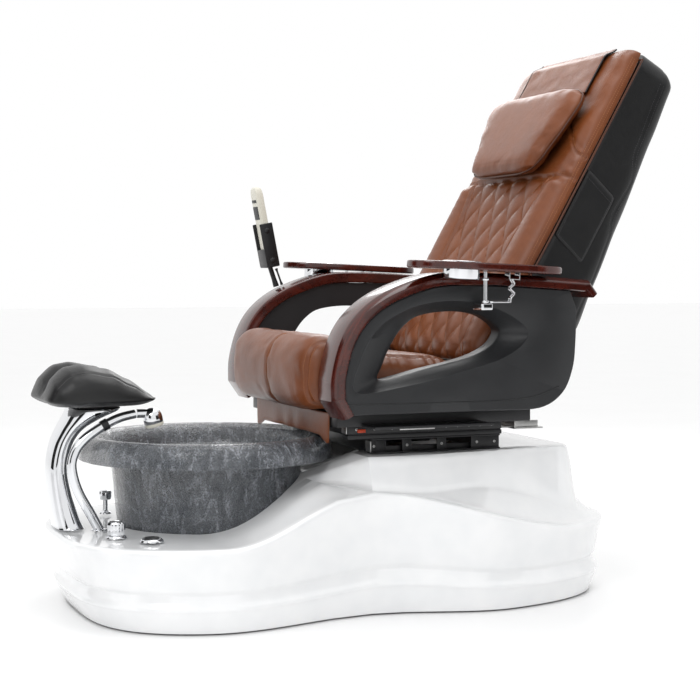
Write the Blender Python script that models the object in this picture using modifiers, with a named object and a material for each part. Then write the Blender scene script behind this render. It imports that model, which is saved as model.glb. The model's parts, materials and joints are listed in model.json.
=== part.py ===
"""Pedicure spa chair: a moulded foot bath base with a clear bowl, a sliding seat and a reclining back.

Metres, +Z up. The sitter faces -Y and the sitter's left hand is at +X. The origin is on the
floor under the middle of the chair.
"""

from math import copysign, cos, exp, hypot, pi, radians, sin

import bmesh
import bpy
from mathutils import Matrix, Vector

GAP = 0.0003  # between pieces that touch

# Moulded base
SHELL_WALL = 0.006
BASE_FRONT, BASE_WAIST, BASE_REAR = -0.710, -0.09, 0.585
DECK_Z = 0.188
CREST_Z = 0.286
PEDESTAL_Z = 0.362
PEDESTAL_FRONT, PEDESTAL_REAR = -0.125, 0.475
PEDESTAL_FOOT = 0.034
SKIRT_LIFT = 0.004
BAND_RISE = 0.016

# Bowl
BOWL_Y = -0.380
BOWL_TOP = 0.400
BOWL_WALL = 0.006

# Seat and arms
SEAT_HALF = 0.284
ARM_IN, ARM_OUT = 0.292, 0.400
PANEL_IN, PANEL_OUT = 0.3025, 0.390
TRIM_THICK = 0.028

# Back: hinge line, and lean from the vertical
HINGE_Y, HINGE_Z = 0.335, 0.540
BACK_LEAN = radians(30)
BACK_TOP = 0.860
AXLE_R = 0.008

# Trays
TRAY_LEAN = radians(2.6)
TRAY_THICK = 0.017
POST_X, POST_Y = 0.425, 0.155


def clear_scene():
    for obj in list(bpy.data.objects):
        bpy.data.objects.remove(obj, do_unlink=True)


def new_collection(name):
    collection = bpy.data.collections.new(name)
    bpy.context.scene.collection.children.link(collection)
    return collection


clear_scene()
parts = new_collection("pedicure_spa_chair")
cutters = new_collection("cutters")


def material(name, colour, roughness, metallic=0.0, alpha=1.0):
    made = bpy.data.materials.new(name)
    made.use_nodes = True
    shader = made.node_tree.nodes["Principled BSDF"]
    shader.inputs["Base Color"].default_value = (*colour, 1)
    shader.inputs["Roughness"].default_value = roughness
    shader.inputs["Metallic"].default_value = metallic
    shader.inputs["Alpha"].default_value = alpha
    return made


finishes = {
    "gelcoat": material("gelcoat", (0.86, 0.87, 0.88), 0.12),
    "resin": material("resin", (0.36, 0.39, 0.43), 0.15, alpha=0.6),
    "chrome": material("chrome", (0.80, 0.80, 0.82), 0.06, 1.0),
    "steel": material("steel", (0.03, 0.03, 0.03), 0.35, 0.8),
    "leather": material("leather", (0.21, 0.062, 0.016), 0.35),
    "black_leather": material("black_leather", (0.012, 0.012, 0.013), 0.35),
    "plastic": material("plastic", (0.035, 0.036, 0.038), 0.40),
    "wood": material("wood", (0.10, 0.012, 0.005), 0.15),
    "rubber": material("rubber", (0.01, 0.01, 0.01), 0.8),
    "ivory": material("ivory", (0.70, 0.68, 0.60), 0.35),
}


# Building tools


def empty(name, at, tilt=0.0):
    """A parent on a joint's axis. A tilt leans its Z axis back, towards +Y."""
    made = bpy.data.objects.new(name, None)
    made.location = at
    made.rotation_euler = (-tilt, 0, 0)
    parts.objects.link(made)
    return made


def add(name, mesh, finish, at=(0, 0, 0), parent=None, smooth_angle=35):
    mesh.shade_smooth()
    mesh.set_sharp_from_angle(angle=radians(smooth_angle))
    obj = bpy.data.objects.new(name, mesh)
    obj.location = at
    if finish:
        mesh.materials.append(finishes[finish])
        parts.objects.link(obj)
    else:
        cutters.objects.link(obj)
        obj.hide_render = True
        obj.display_type = "WIRE"
    obj.parent = parent
    return obj


def mesh_from(name, bm):
    mesh = bpy.data.meshes.new(name)
    bm.to_mesh(mesh)
    bm.free()
    return mesh


def box(name, low, high, finish, bevel=0.0, segments=2, parent=None, taper=None):
    """A box between two corners, its origin in its middle; taper(x, y, z) may move each corner first."""
    low, high = Vector(low), Vector(high)
    middle, size = (low + high) / 2, high - low
    bm = bmesh.new()
    bmesh.ops.create_cube(bm, size=1.0)
    for vert in bm.verts:
        spot = Vector(a * b for a, b in zip(vert.co, size)) + middle
        if taper:
            spot = Vector(taper(*spot))
        vert.co = spot - middle
    obj = add(name, mesh_from(name, bm), finish, middle, parent)
    if bevel:
        rounding = obj.modifiers.new("edges", "BEVEL")
        rounding.width = bevel
        rounding.segments = segments
        rounding.limit_method = "NONE"
    return obj


def rod(name, start, end, radius, finish, sides=20, parent=None):
    """A round bar between two points."""
    start, end = Vector(start), Vector(end)
    along = end - start
    bm = bmesh.new()
    bmesh.ops.create_cone(bm, cap_ends=True, segments=sides, radius1=radius, radius2=radius, depth=along.length)
    turn = along.to_track_quat("Z", "Y").to_matrix().to_4x4()
    bmesh.ops.transform(bm, matrix=turn, verts=bm.verts)
    return add(name, mesh_from(name, bm), finish, (start + end) / 2, parent)


def turned(name, profile, finish, at=(0, 0, 0), direction=(0, 0, 1), steps=32, closed=False, parent=None):
    """A turned piece. The profile is (radius, height), down the outer side from the top."""
    bm = bmesh.new()
    verts = [bm.verts.new((r, 0, h)) for r, h in profile]
    for a, b in zip(verts, verts[1:]):
        bm.edges.new((a, b))
    if closed:
        bm.edges.new((verts[-1], verts[0]))
    obj = add(name, mesh_from(name, bm), finish, at, parent)
    obj.rotation_euler = Vector(direction).to_track_quat("Z", "Y").to_euler()
    screw = obj.modifiers.new("turn", "SCREW")
    screw.steps = screw.render_steps = steps
    screw.use_merge_vertices = True
    screw.merge_threshold = 0.0001
    return obj


def ring_profile(inner, outer, low, high):
    return [(inner, high), (outer, high), (outer, low), (inner, low)]


def curve_through(knots, steps=5, closed=False):
    """Points on a Catmull-Rom curve through the knots."""
    knots = [Vector(k) for k in knots]
    count = len(knots)
    spans = count if closed else count - 1
    points = []
    for i in range(spans):
        if closed:
            p0, p1, p2, p3 = (knots[(i + k) % count] for k in (-1, 0, 1, 2))
        else:
            p1, p2 = knots[i], knots[i + 1]
            p0 = knots[i - 1] if i else p1 * 2 - p2
            p3 = knots[i + 2] if i + 2 < count else p2 * 2 - p1
        for k in range(steps):
            t = k / steps
            points.append(
                (p1 * 2 + (p2 - p0) * t + (p0 * 2 - p1 * 5 + p2 * 4 - p3) * t**2 + (p1 * 3 - p0 - p2 * 3 + p3) * t**3)
                / 2
            )
    if not closed:
        points.append(knots[-1])
    return points


def tube(name, points, radius, finish, resolution=3, parent=None):
    """A bent bar: a poly curve with a round section and capped ends."""
    curve = bpy.data.curves.new(name, "CURVE")
    curve.dimensions = "3D"
    curve.bevel_depth = radius
    curve.bevel_resolution = resolution
    curve.use_fill_caps = True
    spline = curve.splines.new("POLY")
    spline.points.add(len(points) - 1)
    for spot, point in zip(points, spline.points):
        point.co = (*spot, 1)
    curve.materials.append(finishes[finish])
    obj = bpy.data.objects.new(name, curve)
    obj.parent = parent
    parts.objects.link(obj)
    return obj


def plate(name, outlines, x_low, x_high, finish, parent=None):
    """A flat outline in Y and Z, with any holes after it, extruded from x_low to x_high."""
    curve = bpy.data.curves.new(name, "CURVE")
    curve.dimensions = "2D"
    curve.fill_mode = "BOTH"
    curve.extrude = (x_high - x_low) / 2
    for outline in outlines:
        spline = curve.splines.new("POLY")
        spline.points.add(len(outline) - 1)
        spline.use_cyclic_u = True
        for spot, point in zip(outline, spline.points):
            point.co = (spot[0], spot[1], 0, 1)
    guide = bpy.data.objects.new(name + "_outline", curve)
    bpy.context.scene.collection.objects.link(guide)
    mesh = bpy.data.meshes.new_from_object(guide.evaluated_get(bpy.context.evaluated_depsgraph_get()))
    bpy.data.objects.remove(guide, do_unlink=True)
    # local X, Y and Z of the curve become Y, Z and X
    mesh.transform(Matrix(((0, 0, 1, (x_low + x_high) / 2), (1, 0, 0, 0), (0, 1, 0, 0), (0, 0, 0, 1))))
    bm = bmesh.new()
    bm.from_mesh(mesh)
    bmesh.ops.remove_doubles(bm, verts=bm.verts, dist=0.00001)
    bmesh.ops.recalc_face_normals(bm, faces=bm.faces)
    mesh.materials.clear()
    bm.to_mesh(mesh)
    bm.free()
    return add(name, mesh, finish, parent=parent)


def loft(name, rings, finish, cap_ends=True, parent=None, smooth_angle=35):
    """A skin through rings of points of one length."""
    bm = bmesh.new()
    rows = [[bm.verts.new(p) for p in ring] for ring in rings]
    count = len(rows[0])
    for low, high in zip(rows, rows[1:]):
        for i in range(count):
            j = (i + 1) % count
            bm.faces.new((low[i], low[j], high[j], high[i]))
    if cap_ends:
        bm.faces.new(rows[0])
        bm.faces.new(rows[-1])
    bmesh.ops.remove_doubles(bm, verts=bm.verts, dist=0.00001)
    bmesh.ops.recalc_face_normals(bm, faces=bm.faces)
    return add(name, mesh_from(name, bm), finish, parent=parent, smooth_angle=smooth_angle)


def boolean(target, tool, operation):
    step = target.modifiers.new(operation.lower(), "BOOLEAN")
    step.operation = operation
    step.object = tool


def union_of(target, tools):
    for tool in tools:
        boolean(target, tool, "UNION")
    return target


def smoothstep(start, end, value):
    t = min(1.0, max(0.0, (value - start) / (end - start)))
    return t * t * (3 - 2 * t)


def mirrored(points):
    return [(-x, y, z) for x, y, z in points]


# Moulded base


def base_half_width(y):
    """The plan is full at the bath, has a waist beside the seat's front edge, and fills out again."""
    front = 0.434 - 0.089 * smoothstep(-0.50, -0.09, y)
    return front + 0.080 * smoothstep(-0.09, 0.24, y)


def base_outline(count):
    """Floor outline. The tap side's front corner is squarer than the other."""
    points = []
    for i in range(count):
        turn = 2 * pi * i / count
        across, along = cos(turn), sin(turn)
        power = 3.0 if along > 0 else (3.6 if across > 0 else 2.5)
        reach = BASE_REAR - BASE_WAIST if along > 0 else BASE_WAIST - BASE_FRONT
        y = BASE_WAIST + copysign(abs(along) ** (2 / power), along) * reach
        x = copysign(abs(across) ** (2 / power), across) * base_half_width(y)
        points.append(Vector((x, y)))
    return points


def outward(points, side, front, rear):
    """The outline moved out by its own amount at the sides, the front and the rear."""
    moved = []
    for i, point in enumerate(points):
        run = points[(i + 1) % len(points)] - points[i - 1]
        normal = Vector((run.y, -run.x)).normalized()
        end = front if normal.y < 0 else rear
        moved.append(point + normal * (side * normal.x**2 + end * normal.y**2))
    return moved


def lip_height(y):
    """The lip runs level round the bath, climbs to a crest beside the seat and falls to the rear."""
    if y < -0.11:
        return DECK_Z + (CREST_Z - DECK_Z) * smoothstep(-0.46, -0.11, y)
    return DECK_Z - 0.004 + (CREST_Z - DECK_Z + 0.004) * (1 - smoothstep(-0.11, 0.44, y))


def pedestal_distance(x, y):
    """Distance from the pedestal's top edge, negative on the pedestal."""
    half_x = 0.318 - 0.05 * smoothstep(0.0, 0.475, y)
    middle, half_y, corner = (PEDESTAL_FRONT + PEDESTAL_REAR) / 2, (PEDESTAL_REAR - PEDESTAL_FRONT) / 2, 0.05
    qx, qy = abs(x) - half_x + corner, abs(y - middle) - half_y + corner
    block = hypot(max(qx, 0), max(qy, 0)) + min(max(qx, qy), 0) - corner
    bowl_bay = 0.345 - hypot(x, y - BOWL_Y)
    return max(block, bowl_bay)


def top_height(x, y, from_lip):
    """The base's top: the deck and shoulder rise from the lip, and the pedestal stands on them."""
    rise = 0.03 * smoothstep(-0.40, -0.12, y) + 0.035 * smoothstep(-0.05, 0.30, y)
    shoulder = lip_height(y) + rise * smoothstep(0.0, 0.10, from_lip)
    return shoulder + (PEDESTAL_Z - shoulder) * (1 - smoothstep(0.0, PEDESTAL_FOOT, pedestal_distance(x, y)))


def spine_point(p):
    return Vector((0, min(0.33, max(-0.45, p.y))))


def way_in(p):
    """Shares of the way from the lip to the spine, close together on the pedestal's side where the way crosses it."""
    met = []
    for distance in (PEDESTAL_FOOT, PEDESTAL_FOOT * 0.7, PEDESTAL_FOOT * 0.3, 0.0):
        steps = [k / 200 for k in range(1, 200) if pedestal_distance(*p.lerp(spine_point(p), k / 200)) <= distance]
        met.append(steps[0] if steps else None)
    if None in met:
        return [0.12, 0.24, 0.36, 0.44, 0.52, 0.60, 0.80, 1.0]
    return [met[0] * 0.4, met[0] * 0.8, *met, met[3] * 0.5 + 0.5, 1.0]


def make_base_shell():
    floor = base_outline(64)
    walls = [  # side, front, rear offset; height; share of the lip's own rise
        (0.0, 0.0, 0.0, SKIRT_LIFT, 0.0),
        (0.012, 0.026, 0.018, 0.052, 0.0),
        (0.012, 0.028, 0.020, 0.060, 0.0),
        (0.003, 0.018, 0.010, 0.086, 0.05),
        (0.005, 0.024, 0.014, 0.100, 0.08),
        (0.013, 0.040, 0.026, 0.150, 0.6),
        (0.016, 0.049, 0.034, 0.176, 0.95),
        (0.013, 0.046, 0.031, 0.185, 1.0),
        (0.003, 0.036, 0.021, 0.188, 1.0),
    ]
    rings = []
    for side, front, rear, z, share in walls:
        ring = []
        for p in outward(floor, side, front, rear):
            wave = BAND_RISE * exp(-(((p.y + 0.04) / 0.17) ** 2)) if 0.045 < z < 0.11 else 0.0
            ring.append((p.x, p.y, z + wave + share * (lip_height(p.y) - DECK_Z)))
        rings.append(ring)
    lip = [Vector(p[:2]) for p in rings[-1]]
    ways = [way_in(p) for p in lip]
    for step in range(len(ways[0])):
        ring = []
        for p, way in zip(lip, ways):
            spot = p.lerp(spine_point(p), way[step])
            ring.append((spot.x, spot.y, top_height(spot.x, spot.y, (spot - p).length)))
        rings.append(ring)
    shell = loft("base_shell", rings, "gelcoat", cap_ends=False)
    wall = shell.modifiers.new("wall", "SOLIDIFY")
    wall.thickness = SHELL_WALL
    wall.offset = -1
    hole = [(r + 0.0016, z) for r, z in bowl_outside() if z < 0.34]
    hole = [(0, hole[0][1]), *hole, (0.22, 0.05), (0, 0.05)]
    boolean(shell, turned("bowl_hole", hole, None, (0, BOWL_Y, 0), steps=40), "DIFFERENCE")
    return shell


def make_base_frame():
    """Welded box section: two floor rails, cross members, and posts up to the pedestal."""
    rail = box("base_frame", (-0.26, -0.56, 0.0503), (-0.22, 0.43, 0.0903), "steel")
    tools = [box("frame_rail", (0.22, -0.56, 0.0503), (0.26, 0.43, 0.0903), None)]
    for y in (-0.54, -0.26, 0.05, 0.36):
        tools.append(box("frame_cross", (-0.23, y, 0.0513), (0.23, y + 0.04, 0.0993), None))
    for x in (-0.236, 0.236):
        for y in (0.05, 0.36):
            tools.append(box("frame_post", (x - 0.011, y + 0.005, 0.085), (x + 0.011, y + 0.035, 0.340), None))
        tools.append(box("frame_top", (x - 0.013, 0.045, 0.322), (x + 0.013, 0.40, 0.3535), None))
    union_of(rail, tools)
    foot = [(0, 0.0500), (0.006, 0.0500), (0.006, 0.014), (0.020, 0.011), (0.023, 0), (0, 0)]
    for name, x, y in (("front_left", 0.24, -0.50), ("front_right", -0.24, -0.50), ("rear_left", 0.24, 0.39),
                       ("rear_right", -0.24, 0.39)):
        turned("levelling_foot_" + name, foot, "rubber", (x, y, 0), steps=20)


# Bowl and its fittings


def bowl_outside():
    """Outer wall of the bowl, from under its lip down to the floor."""
    return [(0.2500, 0.3780), (0.2370, 0.3560), (0.2290, 0.3300), (0.2225, 0.2600), (0.2160, 0.2000), (0.2020, 0.1610),
            (0.1700, 0.1420)]


def make_bowl():
    lip = [(0.2720, BOWL_TOP), (0.2900, 0.3930), (0.3010, 0.3730), (0.3060, 0.3460), (0.3000, 0.3460),
           (0.2950, 0.3680), (0.2830, 0.3840), (0.2680, 0.3890)]
    inside = [(0.1680, 0.1485), (0.1970, 0.1660), (0.2100, 0.2030), (0.2165, 0.2600), (0.2230, 0.3320),
              (0.2315, 0.3600), (0.2460, 0.3850), (0.2600, 0.3970)]
    profile = lip + bowl_outside() + [(0.0310, 0.1360), (0.0310, 0.1425)] + inside
    turned("basin_bowl", profile, "resin", (0, BOWL_Y, 0), steps=44, closed=True)
    turned("bowl_cradle", ring_profile(0.100, 0.160, 0.0997, 0.1350), "steel", (0, BOWL_Y, 0), closed=True)
    drain = [(0.0220, 0.1475), (0.0400, 0.1465), (0.0400, 0.1440), (0.0280, 0.1440), (0.0280, 0.0800),
             (0.0220, 0.0800)]
    turned("drain_fitting", drain, "chrome", (0, BOWL_Y, 0), steps=28, closed=True)
    plug = [(0, 0.1545), (0.0180, 0.1530), (0.0205, 0.1490), (0.0060, 0.1480), (0.0060, 0.0950), (0, 0.0950)]
    turned("drain_plug", plug, "chrome", (0, BOWL_Y, 0), steps=28)


def make_jet():
    """Magnetic whirlpool jet: a housing in the bowl, and its motor behind the wall."""
    height, housing_y, motor_y = 0.235, -0.178, -0.152
    housing = [(0.0310, 0.026), (0.0400, 0.022), (0.0400, 0), (0.0110, 0), (0.0110, 0.006), (0.0310, 0.006)]
    turned("jet_housing", housing, "chrome", (0, housing_y, height), (0, -1, 0), steps=28, closed=True)
    rotor = box("jet_impeller", (-0.026, -0.2005, height - 0.004), (0.026, -0.1860, height + 0.004), "plastic")
    blade = box("impeller_blade", (-0.0035, -0.2000, height - 0.026), (0.0035, -0.1865, height + 0.026), None)
    hub = rod("impeller_hub", (0, -0.2020, height), (0, -0.1848, height), 0.010, None)
    union_of(rotor, [blade, hub])
    motor = [(0, 0.060), (0.0330, 0.060), (0.0380, 0.050), (0.0380, 0.004), (0.0350, 0), (0, 0)]
    turned("jet_motor", motor, "plastic", (0, motor_y, height), (0, 1, 0), steps=28)


# Front deck


def make_column():
    """The footrest column: a leaning C, seen from the side, that spreads out under the pad."""
    slices = [  # height, front, rear, half width
        (0.1935, -0.748, -0.690, 0.070),
        (0.225, -0.757, -0.700, 0.064),
        (0.280, -0.764, -0.716, 0.057),
        (0.335, -0.767, -0.724, 0.054),
        (0.385, -0.758, -0.713, 0.056),
        (0.420, -0.743, -0.690, 0.062),
        (0.445, -0.729, -0.650, 0.070),
        (0.4695, -0.718, -0.600, 0.078),
    ]
    rings = []
    for z, front, rear, half in slices:
        middle, depth = (front + rear) / 2, (rear - front) / 2
        ring = []
        for k in range(24):
            turn = 2 * pi * k / 24
            across, along = cos(turn), sin(turn)
            x = copysign(abs(across) ** 0.6, across) * half
            ring.append((x, middle + copysign(abs(along) ** 0.8, along) * depth, z))
        rings.append(ring)
    loft("footrest_column", rings, "chrome", smooth_angle=60)
    box("footrest_bracket", (-0.045, -0.705, 0.4698), (0.045, -0.612, 0.4815), "steel", 0.002, 1)


PAD_PIVOT = (0, -0.660, 0.476)


def make_footrest():
    pivot = empty("footrest_pivot", PAD_PIVOT)

    def crown(x, y, z):
        """The pad is highest a third of the way back, and narrows to both ends."""
        if z > 0.02:
            z -= 0.036 if y > 0 else 0.006
        return x * (0.84 if z > 0.02 else 1.0), y, z

    low, high = (-0.155, -0.130, 0.006), (0.155, 0.133, 0.103)
    box("footrest_pad", low, high, "black_leather", 0.028, 4, pivot, crown)


def make_taps():
    path = [(0.086, -0.664, 0.1936), (0.090, -0.684, 0.231), (0.094, -0.711, 0.279), (0.096, -0.725, 0.318),
            (0.097, -0.729, 0.353), (0.097, -0.718, 0.384), (0.097, -0.697, 0.407), (0.096, -0.668, 0.427),
            (0.095, -0.640, 0.442), (0.094, -0.612, 0.453), (0.093, -0.580, 0.4595)]
    tube("faucet_spout", curve_through(path, 3), 0.0115, "chrome", 3)
    nozzle = (0.093, -0.5775, 0.4600)
    pivot = empty("spray_pivot", nozzle)
    neck = rod("spray_head", (0, 0.0008, 0), (0, 0.030, 0.000), 0.0100, "chrome", 20, pivot)
    dome_profile = [(0, 0.024), (0.010, 0.022), (0.0185, 0.015), (0.0225, 0.003), (0.0225, -0.012), (0, -0.012)]
    dome = turned("spray_dome", dome_profile, None, (0, 0.040, -0.011), (0, -0.25, 0.97), 24, parent=pivot)
    union_of(neck, [dome])
    turned("spray_nozzle", [(0, 0), (0.0215, 0), (0.0200, -0.008), (0, -0.008)], "ivory",
           (0, 0.0431, -0.0232), (0, -0.25, 0.97), 24, parent=pivot)
    # mixer knob, on its ring
    turned("mixer_ring", [(0, 0.0055), (0.0190, 0.0055), (0.0235, 0), (0, 0)], "chrome", (0.200, -0.652, 0.1925))
    knob = [(0, 0.030), (0.0170, 0.030), (0.0205, 0.024), (0.0205, 0.006), (0.0185, 0), (0, 0)]
    turned("mixer_knob", knob, "chrome", (0.200, -0.652, 0.1984), steps=24)
    # diverter knob, on a stem, at the far corner of the deck
    stem = [(0, 0.034), (0.0060, 0.034), (0.0060, 0.008), (0.0140, 0.004), (0.0150, 0), (0, 0)]
    turned("diverter_stem", stem, "chrome", (-0.165, -0.590, 0.1925), steps=20)
    turned("diverter_knob", [(0, 0.024), (0.0140, 0.024), (0.0165, 0.020), (0.0150, 0.004), (0.0100, 0), (0, 0)],
           "chrome", (-0.165, -0.590, 0.2269), steps=24)
    # air button, in its bezel
    at = (0.282, -0.592, 0.1925)
    turned("button_bezel", [(0.0180, 0.0060), (0.0215, 0.0070), (0.0265, 0), (0.0180, 0)], "chrome", at, closed=True)
    button = [(0, 0.0105), (0.0120, 0.0100), (0.0174, 0.0085), (0.0174, 0.0040), (0, 0.0040)]
    turned("air_button", button, "plastic", at)


# Seat mechanism


def make_slide():
    """Fixed rails on the pedestal, the carriage that runs on them, and the frame that it carries."""
    low, high = PEDESTAL_Z + GAP, 0.3980
    fixed = box("slide_base_frame", (-0.270, -0.060, low), (-0.232, 0.275, high), "steel")
    tools = [box("fixed_rail", (0.232, -0.060, low), (0.270, 0.275, high), None)]
    for y in (-0.050, 0.235):
        tools.append(box("fixed_cross", (-0.250, y, low + 0.001), (0.250, y + 0.030, high - 0.004), None))
    union_of(fixed, tools)
    box("slide_motor", (-0.040, 0.020, low), (0.040, 0.200, high - 0.004), "steel", 0.006, 2)

    low, high = 0.3983, 0.4300
    carriage = box("slide_carriage", (-0.272, -0.122, low), (-0.236, 0.278, high), "steel")
    tools = [box("carriage_rail", (0.236, -0.122, low), (0.272, 0.278, high), None)]
    for y, bottom in ((-0.112, 0.4060), (0.240, low + 0.001)):
        tools.append(box("carriage_cross", (-0.250, y, bottom), (0.250, y + 0.028, high - 0.001), None))
    union_of(carriage, tools)


def make_seat_frame():
    low, high = 0.4303, 0.4625
    frame = box("seat_frame", (-0.3020, -0.160, low), (-0.250, 0.340, high), "steel")
    tools = [box("seat_rail", (0.250, -0.160, low), (0.3020, 0.340, high), None)]
    tools.append(box("front_cross", (-0.270, -0.158, low + 0.001), (0.270, -0.128, high - 0.001), None))
    tools.append(box("rear_cross", (-0.270, 0.200, low + 0.001), (0.270, 0.240, low + 0.008), None))
    for side in (-1, 1):
        near, far = sorted((side * 0.290, side * 0.384))
        tools.append(box("arm_bracket", (near, -0.100, low + 0.0005), (far, 0.200, 0.4642), None))
        near, far = sorted((side * 0.2665, side * 0.2745))
        tools.append(box("hinge_post", (near, HINGE_Y - 0.018, low + 0.01), (far, HINGE_Y + 0.018, HINGE_Z), None))
        eye = (near - 0.0002, HINGE_Y, HINGE_Z), (far + 0.0002, HINGE_Y, HINGE_Z)
        tools.append(rod("hinge_eye", *eye, 0.0185, None))
    union_of(frame, tools)
    rod("recline_axle", (-0.2658, HINGE_Y, HINGE_Z), (0.2658, HINGE_Y, HINGE_Z), AXLE_R, "chrome", 24)
    bracket = box("rear_bracket", (-0.200, 0.3500, 0.4000), (0.200, 0.4300, 0.4260), "steel")
    tongue = box("bracket_tongue", (-0.180, 0.2785, 0.4020), (0.180, 0.3600, 0.4240), None)
    union_of(bracket, [tongue])
    height = 0.4475
    actuator = rod("recline_actuator", (0, -0.1277, height), (0, 0.130, height), 0.0140, "steel", 20)
    boolean(actuator, rod("actuator_bore", (0, 0.010, height), (0, 0.140, height), 0.0068, None, 16), "DIFFERENCE")
    rod("recline_rod", (0, 0.060, height), (0, 0.3120, height), 0.0060, "chrome", 16)


def make_seat_cushions():
    def slope(x, y, z):
        return x, y, z - (0.018 if y > 0 and z > 0.55 else 0)

    box("seat_cushion", (-SEAT_HALF, -0.105, 0.4630), (SEAT_HALF, 0.165, 0.600), "leather", 0.018, 2, taper=slope)
    box("front_bolster", (-SEAT_HALF, -0.237, 0.4630), (SEAT_HALF, -0.1056, 0.645), "leather", 0.050, 4)
    hem = [(0.262, 0.4600), (0.262, 0.3920), (0.246, 0.3885), (0.200, 0.4055), (0.100, 0.4065)]
    hem += [(-x, z) for x, z in reversed(hem)]
    flap = plate("calf_flap", [hem], -0.0020, 0.0020, "leather")
    # the outline was drawn across Y: turn it to face the front
    flap.data.transform(Matrix(((0, 1, 0, 0), (-1, 0, 0, -0.1627), (0, 0, 1, 0), (0, 0, 0, 1))))


# Arms


def trim_outer():
    """The wooden arm's outer edge in Y and Z: up the front, over the elbow and back along the top."""
    knots = [(-0.178, 0.454), (-0.205, 0.497), (-0.203, 0.556), (-0.183, 0.630), (-0.150, 0.685), (-0.098, 0.729),
             (-0.029, 0.761), (0.053, 0.783), (0.150, 0.786), (0.300, 0.779), (0.451, 0.768), (0.473, 0.743)]
    return curve_through(knots[1:-1], 3), knots[0], knots[-1]


def inset_curve(points, distance):
    """An open curve moved to the right of its direction."""
    moved = []
    for i, point in enumerate(points):
        run = points[min(i + 1, len(points) - 1)] - points[max(i - 1, 0)]
        moved.append(point + Vector((run.y, -run.x)).normalized() * distance)
    return moved


def panel_edge():
    """The side panel's outline: under the wood, then down the rear and along the bottom."""
    outer, _, _ = trim_outer()
    top = inset_curve(outer, TRIM_THICK + GAP)[2:-1]
    rear = curve_through([(0.416, 0.700), (0.414, 0.623), (0.407, 0.560), (0.380, 0.502), (0.321, 0.468),
                          (0.209, 0.4645)], 2)
    return [Vector(p) for p in top] + rear + [Vector((-0.1715, 0.4645))]


WINDOW = [(-0.072, 0.541), (-0.066, 0.576), (-0.042, 0.626), (-0.011, 0.665), (0.030, 0.688), (0.108, 0.696),
          (0.181, 0.686), (0.228, 0.655), (0.223, 0.629), (0.194, 0.606), (0.141, 0.586), (0.039, 0.564)]
RECESS = [(-0.147, 0.517), (-0.138, 0.585), (-0.106, 0.645), (-0.060, 0.684), (0.020, 0.714), (0.125, 0.719),
          (0.222, 0.694), (0.283, 0.652), (0.268, 0.616), (0.210, 0.584), (0.120, 0.560), (-0.020, 0.530)]


def make_arm(side, name):
    outer, front_tip, rear_tip = trim_outer()
    inner = inset_curve(outer, TRIM_THICK)
    outline = [Vector(front_tip)] + outer + [Vector(rear_tip)] + inner[::-1]
    near, far = sorted((side * ARM_IN, side * ARM_OUT))
    trim = plate("arm_trim_" + name, [outline], near, far, "wood")
    soft = trim.modifiers.new("edges", "BEVEL")
    soft.width = 0.004
    soft.segments = 2
    soft.angle_limit = radians(50)

    near, far = sorted((side * PANEL_IN, side * PANEL_OUT))
    panel = plate("side_panel_" + name, [panel_edge()], near, far, "plastic")
    window = curve_through(WINDOW, 3, closed=True)
    recess = curve_through(RECESS, 3, closed=True)
    rings = []
    for x, outline in ((PANEL_IN - 0.01, window), (0.345, window), (PANEL_OUT, recess), (PANEL_OUT + 0.02, recess)):
        rings.append([(side * x, p.x, p.y) for p in outline])
    boolean(panel, loft("window_cutter_" + name, rings, None), "DIFFERENCE")
    # the moulding is hollow, and open underneath
    hollow_near, hollow_far = sorted((side * (PANEL_IN + 0.004), side * (PANEL_OUT - 0.004)))
    lower = [(-0.150, 0.440), (-0.150, 0.500), (-0.020, 0.518), (0.120, 0.548), (0.215, 0.572), (0.285, 0.604),
             (0.300, 0.652), (0.250, 0.695), (0.262, 0.735), (0.400, 0.725), (0.402, 0.640), (0.398, 0.570),
             (0.372, 0.510), (0.318, 0.478), (0.240, 0.472), (0.235, 0.440)]
    boolean(panel, plate("panel_hollow_" + name, [lower], hollow_near, hollow_far, None), "DIFFERENCE")


def make_handset():
    """The hand control stands in a holder on a short stalk, on the right arm."""
    foot = (-0.372, -0.070, 0.7485)
    lean = radians(-11)
    stalk = curve_through([foot, (-0.372, -0.079, 0.775), (-0.372, -0.087, 0.7985)], 3)
    tube("handset_stalk", stalk, 0.007, "plastic", 2)
    holder_base = empty("handset_holder_base", (-0.372, -0.087, 0.800), lean)
    holder = box("handset_holder", (-0.031, -0.018, 0.000), (0.031, 0.018, 0.118), "plastic", 0.006, 2, holder_base)
    slot = box("holder_slot", (-0.0252, -0.0112, 0.0100), (0.0252, 0.0112, 0.130), None, parent=holder_base)
    boolean(holder, slot, "DIFFERENCE")
    box("handset", (-0.0245, -0.0105, 0.0110), (0.0245, 0.0105, 0.2170), "ivory", 0.008, 3, holder_base)
    cable = [(-0.350, -0.078, 0.7960), (-0.350, -0.072, 0.7800), (-0.350, -0.062, 0.7530)]
    tube("handset_cable", curve_through(cable, 3), 0.0025, "rubber", 2)


# Trays


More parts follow.
